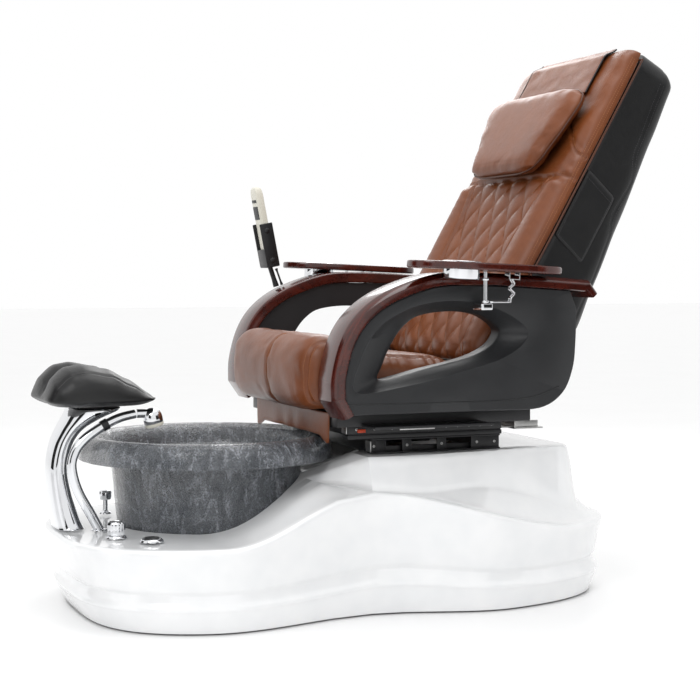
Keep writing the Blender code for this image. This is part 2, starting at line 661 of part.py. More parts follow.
def make_tray(side, name):
    """A board with a cup in it, which swings on a post outside the arm."""
    height = 0.7895
    socket = box("tray_post_" + name, *sorted_box(side, 0.3903, 0.436, 0.140, 0.170, 0.700, 0.716), "plastic")
    post = rod("post_rod", (side * POST_X, POST_Y, 0.705), (side * POST_X, POST_Y, height - 0.0012), 0.0065, None)
    union_of(socket, [post])
    socket.data.materials[0] = finishes["chrome"]

    pivot = empty("tray_pivot_" + name, (side * POST_X, POST_Y, height), TRAY_LEAN)
    outline = []
    for k in range(36):
        across, along = cos(2 * pi * k / 36), sin(2 * pi * k / 36)
        power = 0.60 if along > 0 else 0.85
        outline.append((copysign(abs(across) ** power, across) * 0.084, copysign(abs(along) ** power, along) * 0.186))
    centre = -side * 0.009
    rings = [[(x + centre, y, z) for x, y in outline] for z in (0, TRAY_THICK)]
    board = loft("tray_board_" + name, rings, "wood", parent=pivot)
    cup_x, cup_y = side * 0.024, -0.072
    boolean(board, rod("cup_hole", (cup_x, cup_y, -0.01), (cup_x, cup_y, 0.04), 0.0415, None, 32, pivot), "DIFFERENCE")
    cup = [(0, -0.0200), (0.0380, -0.0200), (0.0380, 0.0190), (0.0450, 0.0190), (0.0450, 0.0173), (0.0410, 0.0173),
           (0.0410, -0.0220), (0, -0.0220)]
    turned("tray_cup_" + name, cup, "chrome", (cup_x, cup_y, 0), steps=32, parent=pivot)
    # the folding clip stays on the arm: its foot stands on the post's socket, and the tray swings over it
    clip = box("tray_clip_" + name, (side * 0.012 - 0.012, 0.050, -0.0220), (side * 0.012 + 0.012, 0.078, -0.0003),
               "chrome", parent=pivot)
    hook = box("clip_hook", *sorted_box(side, 0.429, 0.441, 0.212, 0.216, 0.7165, 0.775), None)
    foot = box("clip_foot", *sorted_box(side, 0.4265, 0.4355, 0.1630, 0.215, 0.7163, 0.7213), None)
    union_of(clip, [hook, foot])


def sorted_box(side, x1, x2, y1, y2, z1, z2):
    near, far = sorted((side * x1, side * x2))
    return (near, y1, z1), (far, y2, z2)


# Back


def make_back():
    """Everything here is in the back's own frame: X across, Y through its thickness, Z up its length."""
    hinge = empty("back_hinge", (0, HINGE_Y, HINGE_Z), BACK_LEAN)

    def shoulders(wide):
        """The shell narrows and thins towards the top."""
        return lambda x, y, z: (copysign(wide - (0.010 if z > 0.4 else 0), x), y - (0.050 if y > 0 and z > 0.4 else 0), z)

    shell = box("back_shell", (-0.276, -0.1050, 0.030), (0.276, 0.1000, BACK_TOP), "black_leather", parent=hinge,
                taper=shoulders(0.276))
    rounding = shell.modifiers.new("edges", "BEVEL")
    rounding.width = 0.055
    rounding.segments = 3
    rounding.limit_method = "NONE"
    hollow = box("shell_hollow", (-0.2660, -0.2000, 0.042), (0.2660, 0.0900, BACK_TOP - 0.012), None, parent=hinge,
                 taper=shoulders(0.266))
    rounding = hollow.modifiers.new("edges", "BEVEL")
    rounding.width = 0.045
    rounding.segments = 3
    rounding.limit_method = "NONE"
    boolean(shell, hollow, "DIFFERENCE")
    slot = box("frame_slot", (-0.2220, -0.0500, 0.000), (0.2220, 0.0260, 0.070), None, parent=hinge)
    boolean(shell, slot, "DIFFERENCE")

    def spread(x, y, z):
        return copysign(0.283 if z < 0.4 else 0.290, x), y, z

    box("back_cushion", (-0.283, -0.1550, -0.040), (0.283, -0.1054, BACK_TOP), "leather", 0.016, 2, hinge, spread)

    upright = empty("lever_hinge", (0, HINGE_Y, HINGE_Z))
    frame = box("back_frame", (-0.215, -0.012, 0.003), (-0.185, 0.018, 0.780), "steel", parent=hinge)
    tools = [box("back_rail", (0.185, -0.012, 0.003), (0.215, 0.018, 0.780), None, parent=hinge)]
    for z in (0.130, 0.740):
        tools.append(box("back_cross", (-0.200, -0.010, z), (0.200, 0.016, z + 0.030), None, parent=hinge))
    tools.append(rod("torsion_tube", (-0.2600, 0, 0), (0.2600, 0, 0), 0.0180, None, 24, hinge))
    lever = box("recline_lever", (-0.006, -0.010, -0.095), (0.006, 0.010, -0.004), None, parent=upright)
    union_of(frame, [*tools, lever])
    boolean(frame, rod("axle_bore", (-0.30, 0, 0), (0.30, 0, 0), AXLE_R + 0.0006, None, 24, hinge), "DIFFERENCE")

    carriage = box("massage_carriage", (-0.110, -0.050, 0.250), (0.110, -0.0125, 0.330), "plastic", parent=hinge)
    tools = []
    for x in (-0.075, 0.075):
        for z in (0.265, 0.315):
            tools.append(rod("massage_roller", (x - 0.012, -0.068, z), (x + 0.012, -0.068, z), 0.022, None, 20, hinge))
    union_of(carriage, tools)

    flip = empty("pillow_hinge", (0, -0.162, 0.850))
    flip.parent = hinge
    box("headrest_pillow", (-0.175, -0.046, -0.388), (0.175, 0.0065, -0.140), "leather", 0.018, 3, flip,
        lambda x, y, z: (x * (1.38 if z > -0.2 else 1.0), y, z))
    box("pillow_flap", (-0.190, 0.0010, -0.1396), (0.190, 0.0060, -0.0003), "leather", 0.0015, 1, flip)


make_base_shell()
make_base_frame()
make_bowl()
make_jet()
make_column()
make_footrest()
make_taps()
make_slide()
make_seat_frame()
make_seat_cushions()
make_arm(1, "left")
make_arm(-1, "right")
make_handset()
make_tray(1, "left")
make_tray(-1, "right")
make_back()
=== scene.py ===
import json
from math import copysign, cos, exp, hypot, pi, radians, sin

import bmesh
import bpy
from mathutils import Matrix, Vector, kdtree, noise
from mathutils.bvhtree import BVHTree

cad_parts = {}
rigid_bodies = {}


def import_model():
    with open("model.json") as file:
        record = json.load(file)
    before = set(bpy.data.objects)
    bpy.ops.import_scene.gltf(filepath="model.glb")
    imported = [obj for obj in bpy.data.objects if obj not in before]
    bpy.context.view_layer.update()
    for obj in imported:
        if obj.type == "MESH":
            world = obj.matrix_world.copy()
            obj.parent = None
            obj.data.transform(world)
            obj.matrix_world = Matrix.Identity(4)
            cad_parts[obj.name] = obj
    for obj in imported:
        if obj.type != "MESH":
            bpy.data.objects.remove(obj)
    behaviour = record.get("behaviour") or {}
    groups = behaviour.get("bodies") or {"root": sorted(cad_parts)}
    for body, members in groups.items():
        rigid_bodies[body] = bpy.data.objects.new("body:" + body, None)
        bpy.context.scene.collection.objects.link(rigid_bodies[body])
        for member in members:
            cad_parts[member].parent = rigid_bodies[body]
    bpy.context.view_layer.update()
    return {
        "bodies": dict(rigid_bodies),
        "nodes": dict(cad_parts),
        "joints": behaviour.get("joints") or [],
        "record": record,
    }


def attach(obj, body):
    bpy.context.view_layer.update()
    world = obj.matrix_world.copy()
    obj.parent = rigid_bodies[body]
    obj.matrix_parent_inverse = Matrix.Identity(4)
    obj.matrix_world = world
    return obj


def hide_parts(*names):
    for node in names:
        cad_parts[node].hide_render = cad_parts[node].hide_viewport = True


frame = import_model()
scene = bpy.context.scene

# camera

camera = {"place": (3.739, -1.514, 0.7895), "azimuth": 68.04, "down": 2.795, "lens": 83.26}


def addCamera():
    turn, dip = radians(camera["azimuth"]), radians(camera["down"])
    look = Vector((-sin(turn) * cos(dip), cos(turn) * cos(dip), -sin(dip)))
    data = bpy.data.cameras.new("camera")
    data.lens = camera["lens"]
    obj = bpy.data.objects.new("camera", data)
    obj.location = camera["place"]
    obj.rotation_euler = look.to_track_quat("-Z", "Y").to_euler()
    scene.collection.objects.link(obj)
    scene.camera = obj


addCamera()


# materials


class Wire:  # a socket that takes ordinary arithmetic
    def __init__(self, tree, socket=None):
        self.tree, self.socket = tree, socket

    def node(self, kind, settings=None, values=None, output=0):
        made = self.tree.nodes.new(kind)
        for key, value in (settings or {}).items():
            if key == "stops":
                ramp = made.color_ramp
                while len(ramp.elements) < len(value):
                    ramp.elements.new(0.5)
                for element, (place, colour) in zip(ramp.elements, value):
                    element.position = place
                    element.color = (*colour, 1)
            else:
                setattr(made, key, value)
        for key, value in (values or {}).items():
            if isinstance(value, Wire):
                self.tree.links.new(value.socket, made.inputs[key])
            else:
                made.inputs[key].default_value = value
        return Wire(self.tree, made.outputs[output])

    def sum(self, kind, first, second):
        return self.node("ShaderNodeMath", {"operation": kind}, {0: first, 1: second})

    def __add__(self, other):
        return self.sum("ADD", self, other)

    __radd__ = __add__

    def __mul__(self, other):
        return self.sum("MULTIPLY", self, other)

    __rmul__ = __mul__

    def into(self, shader, name):
        self.tree.links.new(self.socket, shader.inputs[name])


def newFinish(name, colour, roughness, **fixed):
    made = bpy.data.materials.new(name)
    made.use_nodes = True
    shader = made.node_tree.nodes["Principled BSDF"]
    shader.inputs["Base Color"].default_value = (*colour, 1)
    shader.inputs["Roughness"].default_value = roughness
    for key, value in fixed.items():
        shader.inputs[key.replace("_", " ")].default_value = value
    start = Wire(made.node_tree)
    place = start.node("ShaderNodeTexCoord", output=3)
    return made, shader, start, place


def cloud(start, place, scale, detail=3.0, rough=0.5, twist=0.0):
    return start.node("ShaderNodeTexNoise", None,
                      {"Vector": place, "Scale": scale, "Detail": detail, "Roughness": rough,
                       "Distortion": twist})


def bumpInto(start, shader, height, depth, strength=1.0):
    start.node("ShaderNodeBump", None, {"Height": height, "Distance": depth,
                                        "Strength": strength}).into(shader, "Normal")


def rampOf(start, factor, stops):
    return start.node("ShaderNodeValToRGB", {"stops": stops}, {0: factor})


def makeLeather(name, dark, middle, light, coat, roughness):
    made, shader, start, place = newFinish(name, middle, roughness, Coat_Roughness=0.22,
                                           Specular_IOR_Level=0.38)
    shader.inputs["Coat Weight"].default_value = coat
    tone = cloud(start, place, 5, 3, 0.5, 0.2)
    patches = cloud(start, place, 55, 3)
    shade = rampOf(start, tone * 0.75 + patches * 0.25, [(0.30, dark), (0.50, middle), (0.72, light)])
    shade.into(shader, "Base Color")
    pebbles = start.node("ShaderNodeTexVoronoi", {"feature": "DISTANCE_TO_EDGE"},
                         {"Vector": place, "Scale": 620})
    fine = cloud(start, place, 1500, 2)
    creases = cloud(start, place, 34, 3, 0.55, 1.3)
    (tone * 0.16 + (roughness - 0.08)).into(shader, "Roughness")
    bumpInto(start, shader, pebbles * 0.30 + fine * 0.10 + creases * 0.9, 0.0010, 0.6)
    return made


def makeFinishes():
    made = {}
    made["leather"] = makeLeather("tanLeather", (0.128, 0.034, 0.0085), (0.165, 0.045, 0.0112),
                                  (0.198, 0.057, 0.0150),
                                  0.10, 0.38)
    made["blackLeather"] = makeLeather("blackLeather", (0.0035, 0.0035, 0.004), (0.006, 0.006, 0.0065),
                                       (0.009, 0.009, 0.0095), 0.08, 0.40)

    gel, shader, start, place = newFinish("gelcoat", (0.84, 0.85, 0.86), 0.13, Coat_Weight=0.6,
                                          Coat_Roughness=0.05)
    ripple = cloud(start, place, 14, 2)
    rampOf(start, ripple, [(0.3, (0.81, 0.82, 0.83)), (0.7, (0.86, 0.865, 0.87))]).into(shader,
                                                                                        "Base Color")
    (ripple * 0.08 + 0.09).into(shader, "Roughness")
    bumpInto(start, shader, ripple, 0.0006, 0.35)
    made["gelcoat"] = gel

    resin, shader, start, place = newFinish("smokyResin", (0.42, 0.45, 0.49), 0.10, IOR=1.45,
                                            Coat_Weight=0.7,
                                            Coat_Roughness=0.04)
    dimples = start.node("ShaderNodeTexVoronoi", {"feature": "SMOOTH_F1"}, {"Vector": place, "Scale": 95})
    grit = cloud(start, place, 240, 4, 0.65, 0.6)
    upright = start.node("ShaderNodeMapping", None, {"Vector": place, "Scale": (1.0, 1.0, 0.35)})
    veins = cloud(start, upright, 42, 5, 0.7, 1.2)
    rampOf(start, grit * 0.45 + veins * 0.55, [(0.34, (0.030, 0.034, 0.040)), (0.5, (0.105, 0.115, 0.130)),
                                               (0.70, (0.46, 0.48, 0.52))]).into(shader, "Base Color")
    (veins * 0.55 + grit * 0.30 + 0.22).into(shader, "Alpha")
    bumpInto(start, shader, dimples * 1.2 + grit * 1.1 + veins * 0.8, 0.0034, 1.0)
    made["resin"] = resin

    def chromeLike(name, colour, roughness, wear):
        metal, shader, start, place = newFinish(name, colour, roughness, Metallic=1.0)
        smear = cloud(start, place, 60, 4, 0.6)
        (smear * wear + roughness).into(shader, "Roughness")
        bumpInto(start, shader, cloud(start, place, 9, 2), 0.0004, 0.2)
        return metal

    made["chrome"] = chromeLike("chromePlate", (0.78, 0.79, 0.81), 0.025, 0.05)
    made["zinc"] = chromeLike("zincPlate", (0.55, 0.55, 0.54), 0.24, 0.2)

    def coated(name, colour, lighter, roughness, grain, depth):
        plastic, shader, start, place = newFinish(name, colour, roughness, Specular_IOR_Level=0.4)
        speck = cloud(start, place, grain, 3, 0.6)
        wide = cloud(start, place, 8, 3)
        rampOf(start, wide * 0.6 + speck * 0.4, [(0.35, colour), (0.68, lighter)]).into(shader,
                                                                                        "Base Color")
        (wide * 0.14 + (roughness - 0.07)).into(shader, "Roughness")
        bumpInto(start, shader, speck, depth, 0.5)
        return plastic

    made["panel"] = coated("panelPlastic", (0.015, 0.0155, 0.017), (0.022, 0.0228, 0.0245), 0.42, 1100,
                           0.00025)
    made["black"] = coated("blackPlastic", (0.008, 0.008, 0.009), (0.016, 0.016, 0.017), 0.32, 900, 0.0002)
    made["steel"] = coated("blackSteel", (0.010, 0.010, 0.011), (0.024, 0.024, 0.026), 0.34, 520, 0.0003)
    made["rubber"] = coated("footRubber", (0.012, 0.012, 0.012), (0.022, 0.022, 0.022), 0.75, 400, 0.0004)
    made["ivory"] = coated("ivoryPlastic", (0.66, 0.64, 0.55), (0.74, 0.72, 0.64), 0.34, 900, 0.0001)
    made["thread"] = coated("tanThread", (0.26, 0.10, 0.035), (0.42, 0.18, 0.07), 0.6, 1500, 0.0002)
    made["darkThread"] = coated("greyThread", (0.045, 0.045, 0.048), (0.08, 0.08, 0.085), 0.6, 1500, 0.0002)
    made["piping"] = coated("darkPiping", (0.05, 0.014, 0.005), (0.09, 0.026, 0.009), 0.38, 700, 0.0003)
    made["redTab"] = coated("redTab", (0.45, 0.04, 0.01), (0.6, 0.07, 0.02), 0.4, 700, 0.0001)

    wood, shader, start, place = newFinish("mahogany", (0.07, 0.010, 0.004), 0.24, Coat_Weight=0.35,
                                           Coat_Roughness=0.08)
    along = start.node("ShaderNodeMapping", None, {"Vector": place, "Scale": (9.0, 1.0, 1.6)})
    figure = cloud(start, along, 11, 6, 0.6, 1.2)
    pores = cloud(start, along, 110, 3, 0.7, 0.4)
    rampOf(start, figure * 0.75 + pores * 0.25, [(0.34, (0.022, 0.0026, 0.0014)),
                                                 (0.50, (0.050, 0.0058, 0.0026)),
                                                 (0.66, (0.085, 0.0105, 0.0045))]).into(shader,
                                                                                        "Base Color")
    (pores * 0.18 + 0.10).into(shader, "Roughness")
    bumpInto(start, shader, pores, 0.0002, 0.4)
    made["wood"] = wood
    return made


finishes = makeFinishes()
print("finishes made")


# building


def smoothstep(start, end, value):
    t = min(1.0, max(0.0, (value - start) / (end - start)))
    return t * t * (3 - 2 * t)


def makePiece(name, verts, faces, finish, body, cad=(), angle=45):
    mesh = bpy.data.meshes.new(name)
    mesh.from_pydata([tuple(v) for v in verts], [], faces)
    bm = bmesh.new()
    bm.from_mesh(mesh)
    bmesh.ops.remove_doubles(bm, verts=bm.verts, dist=0.00002)
    bmesh.ops.dissolve_degenerate(bm, edges=bm.edges, dist=0.000005)
    bmesh.ops.recalc_face_normals(bm, faces=bm.faces)
    bm.to_mesh(mesh)
    bm.free()
    return dress(bpy.data.objects.new(name, mesh), finish, body, cad, angle)


def dress(obj, finish, body, cad=(), angle=45):
    if obj.name not in scene.collection.objects:
        scene.collection.objects.link(obj)
    obj.data.shade_smooth()
    obj.data.set_sharp_from_angle(angle=radians(angle))
    obj.data.materials.clear()
    obj.data.materials.append(finishes[finish])
    if body:
        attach(obj, body)
    if cad:
        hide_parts(*cad)
    return obj


def ringSkin(rings, looped=False):
    count, rows = len(rings[0]), len(rings)
    verts = [Vector(v) for ring in rings for v in ring]
    faces = []
    for r in range(rows if looped else rows - 1):
        a, b = r * count, ((r + 1) % rows) * count
        faces += [(a + i, a + (i + 1) % count, b + (i + 1) % count, b + i) for i in range(count)]
    if not looped:
        for start in (0, (rows - 1) * count):
            verts.append(sum(verts[start:start + count], Vector((0, 0, 0))) / count)
            faces += [(start + i, start + (i + 1) % count, len(verts) - 1) for i in range(count)]
    return verts, faces


def gather(parts):  # several skins as one
    verts, faces = [], []
    for moreVerts, moreFaces in parts:
        faces += [tuple(i + len(verts) for i in face) for face in moreFaces]
        verts += moreVerts
    return verts, faces


def through(knots, steps=8, looped=False):  # points on a smooth curve through the knots
    knots = [Vector(k) for k in knots]
    count = len(knots)
    points = []
    for i in range(count if looped else count - 1):
        if looped:
            p0, p1, p2, p3 = (knots[(i + k) % count] for k in (-1, 0, 1, 2))
        else:
            p1, p2 = knots[i], knots[i + 1]
            p0 = knots[i - 1] if i else p1 * 2 - p2
            p3 = knots[i + 2] if i + 2 < count else p2 * 2 - p1
        for k in range(steps):
            t = k / steps
            points.append((p1 * 2 + (p2 - p0) * t + (p0 * 2 - p1 * 5 + p2 * 4 - p3) * t**2
                           + (p1 * 3 - p0 - p2 * 3 + p3) * t**3) / 2)
    if not looped:
        points.append(knots[-1])
    return points


def heightAt(knots, place):  # the second value at a place among pairs
    if place <= knots[0][0]:
        return knots[0][1]
    for (a, low), (b, high) in zip(knots, knots[1:]):
        if place <= b:
            t = (place - a) / (b - a)
            return low + (high - low) * t * t * (3 - 2 * t) * 0.5 + (high - low) * t * 0.5
    return knots[-1][1]


def pipe(points, radius, sides=14):
    points = [Vector(p) for p in points]
    rings, side = [], None
    for i, point in enumerate(points):
        run = (points[min(i + 1, len(points) - 1)] - points[max(i - 1, 0)]).normalized()
        side = run.orthogonal().normalized() if side is None else (side - run * side.dot(run)).normalized()
        other = run.cross(side)
        wide = radius(i / (len(points) - 1)) if callable(radius) else radius
        rings.append([point + (side * cos(2 * pi * k / sides) + other * sin(2 * pi * k / sides)) * wide
                      for k in range(sides)])
    return ringSkin(rings)


def lathe(profile, at, direction=(0, 0, 1), steps=64, flute=None,
          looped=False):  # profile is (radius, height)
    turn = Vector(direction).to_track_quat("Z", "Y").to_matrix()
    rings = []
    for radius, height in profile:
        ring = []
        for k in range(steps):
            a = 2 * pi * k / steps
            r = max(radius, 0.00001) * (flute(a, radius, height) if flute else 1)
            ring.append(Vector(at) + turn @ Vector((r * cos(a), r * sin(a), height)))
        rings.append(ring)
    return ringSkin(rings, looped)


def block(low, high, round=0.0015, turn=None, steps=3):  # a box with rounded edges
    low, high = Vector(low), Vector(high)
    middle, half = (low + high) / 2, (high - low) / 2
    round = min(round, *(h * 0.98 for h in half))
    bm = bmesh.new()
    bmesh.ops.create_cube(bm, size=2.0)
    for vert in bm.verts:
        vert.co = Vector(a * b for a, b in zip(vert.co, half))
    bmesh.ops.bevel(bm, geom=bm.verts[:] + bm.edges[:], offset=round, segments=steps, profile=0.5,
                    affect="EDGES")
    for vert in bm.verts:
        vert.co += middle
        if turn:
            vert.co = turn @ vert.co
    bm.verts.index_update()
    made = [v.co.copy() for v in bm.verts], [tuple(v.index for v in f.verts) for f in bm.faces]
    bm.free()
    return made


def softEdges(count, crowd=1.7):  # from -1 to 1, closer together at the ends
    return [copysign(1 - (1 - abs(t)) ** crowd, t) for t in (2 * k / count - 1 for k in range(count + 1))]


def padSkin(across, along, half, front, back, place, corner=0.06, edge=12.0, fullness=2.3):
    # half(v) is the half width, front and back are heights, and place puts (x, v, height) in the room
    verts, faces = [], []
    us, vs = softEdges(across), softEdges(along)
    row = len(us)
    for face, height in ((1, front), (-1, back)):
        first = len(verts)
        for v in vs:
            for u in us:
                fall = max(0.0, (1 - abs(u) ** edge) * (1 - abs(v) ** edge)) ** (1 / fullness)
                x = u * (1 - corner * abs(v) ** 8) * half(v)
                verts.append(Vector(place(x, v * (1 - corner * abs(u) ** 8), face * height(x, v) * fall)))
        for j in range(along):
            for i in range(across):
                a = first + j * row + i
                faces.append((a, a + 1, a + row + 1, a + row) if face > 0 else (a + row, a + row + 1, a + 1,
                                                                                a))
    return verts, faces


def plump(obj, pressure=4.0, most=0.012, held=None, voxel=0.007, frames=20):  # swells like stuffed leather
    mesh = obj.data.copy()
    coarse = bpy.data.objects.new(obj.name + "Stuffing", mesh)
    scene.collection.objects.link(coarse)
    remesh = coarse.modifiers.new("remesh", "REMESH")
    remesh.mode, remesh.voxel_size = "VOXEL", voxel
    mesh = bpy.data.meshes.new_from_object(coarse.evaluated_get(bpy.context.evaluated_depsgraph_get()))
    coarse.modifiers.clear()
    coarse.data = mesh
    before = [v.co.copy() for v in mesh.vertices]
    if held:
        group = coarse.vertex_groups.new(name="held")
        for i, spot in enumerate(before):
            amount = held(spot)
            if amount > 0:
                group.add([i], min(1.0, amount), "REPLACE")
    cloth = coarse.modifiers.new("cloth", "CLOTH")
    settings = cloth.settings
    settings.quality = 4
    settings.mass = 0.4
    settings.tension_stiffness = settings.compression_stiffness = 18
    settings.shear_stiffness, settings.bending_stiffness = 12, 1.2
    settings.use_pressure = True
    settings.uniform_pressure_force = pressure
    settings.effector_weights.gravity = 0
    if held:
        settings.vertex_group_mass = "held"
    cloth.collision_settings.use_collision = False
    cloth.collision_settings.use_self_collision = False
    cloth.point_cache.frame_start, cloth.point_cache.frame_end = 1, frames
    for frame in range(1, frames + 1):
        scene.frame_set(frame)
    done = coarse.evaluated_get(bpy.context.evaluated_depsgraph_get()).to_mesh()
    tree = kdtree.KDTree(len(before))
    shifts = []
    for i, (spot, vert) in enumerate(zip(before, done.vertices)):
        shift = vert.co - spot
        far = shift.length
        shifts.append(shift * (most * (1 - exp(-far / most)) / far) if far > 1e-9 else shift)
        tree.insert(spot, i)
    tree.balance()
    for vert in obj.data.vertices:
        total, weight = Vector((0, 0, 0)), 0.0
        for spot, i, away in tree.find_n(vert.co, 5):
            share = 1 / (away + 0.001)
            total += shifts[i] * share
            weight += share
        vert.co += total / weight
    scene.frame_set(1)
    bpy.data.objects.remove(coarse, do_unlink=True)
    obj.data.update()
    print("stuffed", obj.name)
    return obj


def crease(obj, move):  # sewn channels and folds, pressed in after the stuffing
    for vert in obj.data.vertices:
        vert.co += Vector(move(vert.co))
    obj.data.update()
    return obj


def skinTree(obj):
    graph = bmesh.new()
    graph.from_mesh(obj.data)
    tree = BVHTree.FromBMesh(graph)
    graph.free()
    return tree


def laidOn(points, obj, look, lift=0.0):  # the points moved along look until they meet the surface
    tree, look = skinTree(obj), Vector(look).normalized()
    laid = []
    for point in points:
        hit = tree.ray_cast(Vector(point) - look * 0.12, look, 0.24)[0]
        if hit is not None:
            laid.append(hit - look * lift)
    return laid


# sewing and screws that follow a line


def nodeGroup(name, inputs):
    tree = bpy.data.node_groups.new(name, "GeometryNodeTree")
    tree.interface.new_socket("Geometry", in_out="INPUT", socket_type="NodeSocketGeometry")
    tree.interface.new_socket("Geometry", in_out="OUTPUT", socket_type="NodeSocketGeometry")
    for label, kind, value in inputs:
        made = tree.interface.new_socket(label, in_out="INPUT", socket_type=kind)
        if value is not None:
            made.default_value = value
    return tree, tree.nodes.new("NodeGroupInput"), tree.nodes.new("NodeGroupOutput")


def sewingTree():
    tree, given, out = nodeGroup("sewing", [("Spacing", "NodeSocketFloat", 0.004),
                                            ("Length", "NodeSocketFloat", 0.003),
                                            ("Width", "NodeSocketFloat", 0.0009),
                                            ("Seed", "NodeSocketInt", 3),
                                            ("Finish", "NodeSocketMaterial", None)])
    start = Wire(tree)
    curve = start.node("GeometryNodeMeshToCurve", None, {"Mesh": Wire(tree, given.outputs["Geometry"])})
    spread = start.node("GeometryNodeCurveToPoints", {"mode": "LENGTH"},
                        {"Curve": curve, "Length": Wire(tree, given.outputs["Spacing"])})
    tangent = Wire(tree, spread.socket.node.outputs["Tangent"])
    turn = start.node("FunctionNodeAlignRotationToVector", {"axis": "Z"}, {"Vector": tangent})
    bead = start.node("GeometryNodeMeshUVSphere", None, {"Segments": 8, "Rings": 5, "Radius": 0.5})
    width, length = Wire(tree, given.outputs["Width"]), Wire(tree, given.outputs["Length"])
    wobble = start.node("FunctionNodeRandomValue", {"data_type": "FLOAT"},
                        {2: 0.86, 3: 1.12, "Seed": Wire(tree, given.outputs["Seed"])}, 1)
    size = start.node("ShaderNodeCombineXYZ", None, {0: width * wobble, 1: width * wobble,
                                                     2: length * wobble})
    set_ = start.node("GeometryNodeInstanceOnPoints", None,
                      {"Points": spread, "Instance": bead, "Rotation": turn, "Scale": size})
    real = start.node("GeometryNodeRealizeInstances", None, {"Geometry": set_})
    painted = start.node("GeometryNodeSetMaterial", None,
                         {"Geometry": real, "Material": Wire(tree, given.outputs["Finish"])})
    painted.into(out, "Geometry")
    return tree


def screwTree():  # pan heads with a hex socket, on single points that carry a normal
    tree, given, out = nodeGroup("screws", [("Radius", "NodeSocketFloat", 0.003),
                                            ("Facing", "NodeSocketVector", None),
                                            ("Finish", "NodeSocketMaterial", None)])
    start = Wire(tree)
    radius = Wire(tree, given.outputs["Radius"])
    turn = start.node("FunctionNodeAlignRotationToVector", {"axis": "Z"},
                      {"Vector": Wire(tree, given.outputs["Facing"])})
    head = start.node("GeometryNodeMeshCylinder", {"fill_type": "NGON"},
                      {"Vertices": 20, "Radius": 1.0, "Depth": 0.5})
    dome = start.node("GeometryNodeMeshUVSphere", None, {"Segments": 20, "Rings": 10, "Radius": 0.82})
    flat = start.node("GeometryNodeTransform", None, {"Geometry": dome, "Translation": (0, 0, 0.18),
                                                      "Scale": (1, 1, 0.42)})
    socket = start.node("GeometryNodeMeshCylinder", {"fill_type": "NGON"},
                        {"Vertices": 6, "Radius": 0.42, "Depth": 1.2})
    joined = start.node("GeometryNodeJoinGeometry", None, {"Geometry": head})
    tree.links.new(flat.socket, joined.socket.node.inputs["Geometry"])
    cut = start.node("GeometryNodeMeshBoolean", {"operation": "DIFFERENCE"},
                     {"Mesh 1": joined, "Mesh 2": socket})
    points = start.node("GeometryNodeMeshToPoints", None, {"Mesh": Wire(tree, given.outputs["Geometry"])})
    scale = start.node("ShaderNodeCombineXYZ", None, {0: radius, 1: radius, 2: radius})
    set_ = start.node("GeometryNodeInstanceOnPoints", None,
                      {"Points": points, "Instance": cut, "Rotation": turn, "Scale": scale})
    real = start.node("GeometryNodeRealizeInstances", None, {"Geometry": set_})
    painted = start.node("GeometryNodeSetMaterial", None,
                         {"Geometry": real, "Material": Wire(tree, given.outputs["Finish"])})
    painted.into(out, "Geometry")
    return tree


trees = {"sewing": sewingTree(), "screws": screwTree()}


def grown(name, lines, tree, finish, body,
          **values):  # runs a tree on lines or single points, as one plain mesh
    verts, edges = [], []
    for line in lines:
        first = len(verts)
        verts += [tuple(p) for p in line]
        edges += [(first + i, first + i + 1) for i in range(len(line) - 1)]
    mesh = bpy.data.meshes.new(name)
    mesh.from_pydata(verts, edges, [])
    guide = bpy.data.objects.new(name + "Guide", mesh)
    modifier = guide.modifiers.new("grow", "NODES")
    modifier.node_group = trees[tree]
    for item in trees[tree].interface.items_tree:
        if item.in_out == "INPUT" and item.name in values:
            modifier[item.identifier] = values[item.name]
        if item.in_out == "INPUT" and item.name == "Finish":
            modifier[item.identifier] = finishes[finish]
    scene.collection.objects.link(guide)
    mesh = bpy.data.meshes.new_from_object(guide.evaluated_get(bpy.context.evaluated_depsgraph_get()))
    bpy.data.objects.remove(guide, do_unlink=True)
    mesh.name = name
    return dress(bpy.data.objects.new(name, mesh), finish, body)


def sew(name, lines, finish, body, **values):
    return grown(name, [line for line in lines if len(line) > 1], "sewing", finish, body, **values)


# moulded base

base = {"front": -0.710, "waist": -0.09, "rear": 0.585, "deck": 0.188, "crest": 0.286, "pedestal": 0.362,
        "foot": 0.034, "band": 0.016, "wall": 0.006, "around": 176}
bowl = {"y": -0.380}


def baseHalf(y):
    return 0.434 - 0.089 * smoothstep(-0.50, -0.09, y) + 0.080 * smoothstep(-0.09, 0.24, y)


def baseOutline(count):
    points = []
    for i in range(count):
        across, along = cos(2 * pi * i / count), sin(2 * pi * i / count)
        power = 3.0 if along > 0 else (3.6 if across > 0 else 2.5)
        reach = base["rear"] - base["waist"] if along > 0 else base["waist"] - base["front"]
        y = base["waist"] + copysign(abs(along) ** (2 / power), along) * reach
        points.append(Vector((copysign(abs(across) ** (2 / power), across) * baseHalf(y), y)))
    return points


def lipHeight(y):
    if y < -0.11:
        return base["deck"] + (base["crest"] - base["deck"]) * smoothstep(-0.46, -0.11, y)
    return base["deck"] - 0.004 + (base["crest"] - base["deck"] + 0.004) * (1 - smoothstep(-0.11, 0.44, y))


def fromPedestal(x, y):
    halfX = 0.318 - 0.05 * smoothstep(0.0, 0.475, y)
    qx, qy = abs(x) - halfX + 0.05, abs(y - 0.175) - 0.30 + 0.05
    return max(hypot(max(qx, 0), max(qy, 0)) + min(max(qx, qy), 0) - 0.05, 0.345 - hypot(x, y - bowl["y"]))


def topHeight(x, y, fromLip):
    rise = 0.03 * smoothstep(-0.40, -0.12, y) + 0.035 * smoothstep(-0.05, 0.30, y)
    shoulder = lipHeight(y) + rise * smoothstep(0.0, 0.10, fromLip)
    return shoulder + (base["pedestal"] - shoulder) * (1 - smoothstep(0.0, base["foot"],
                                                                      fromPedestal(x, y)))


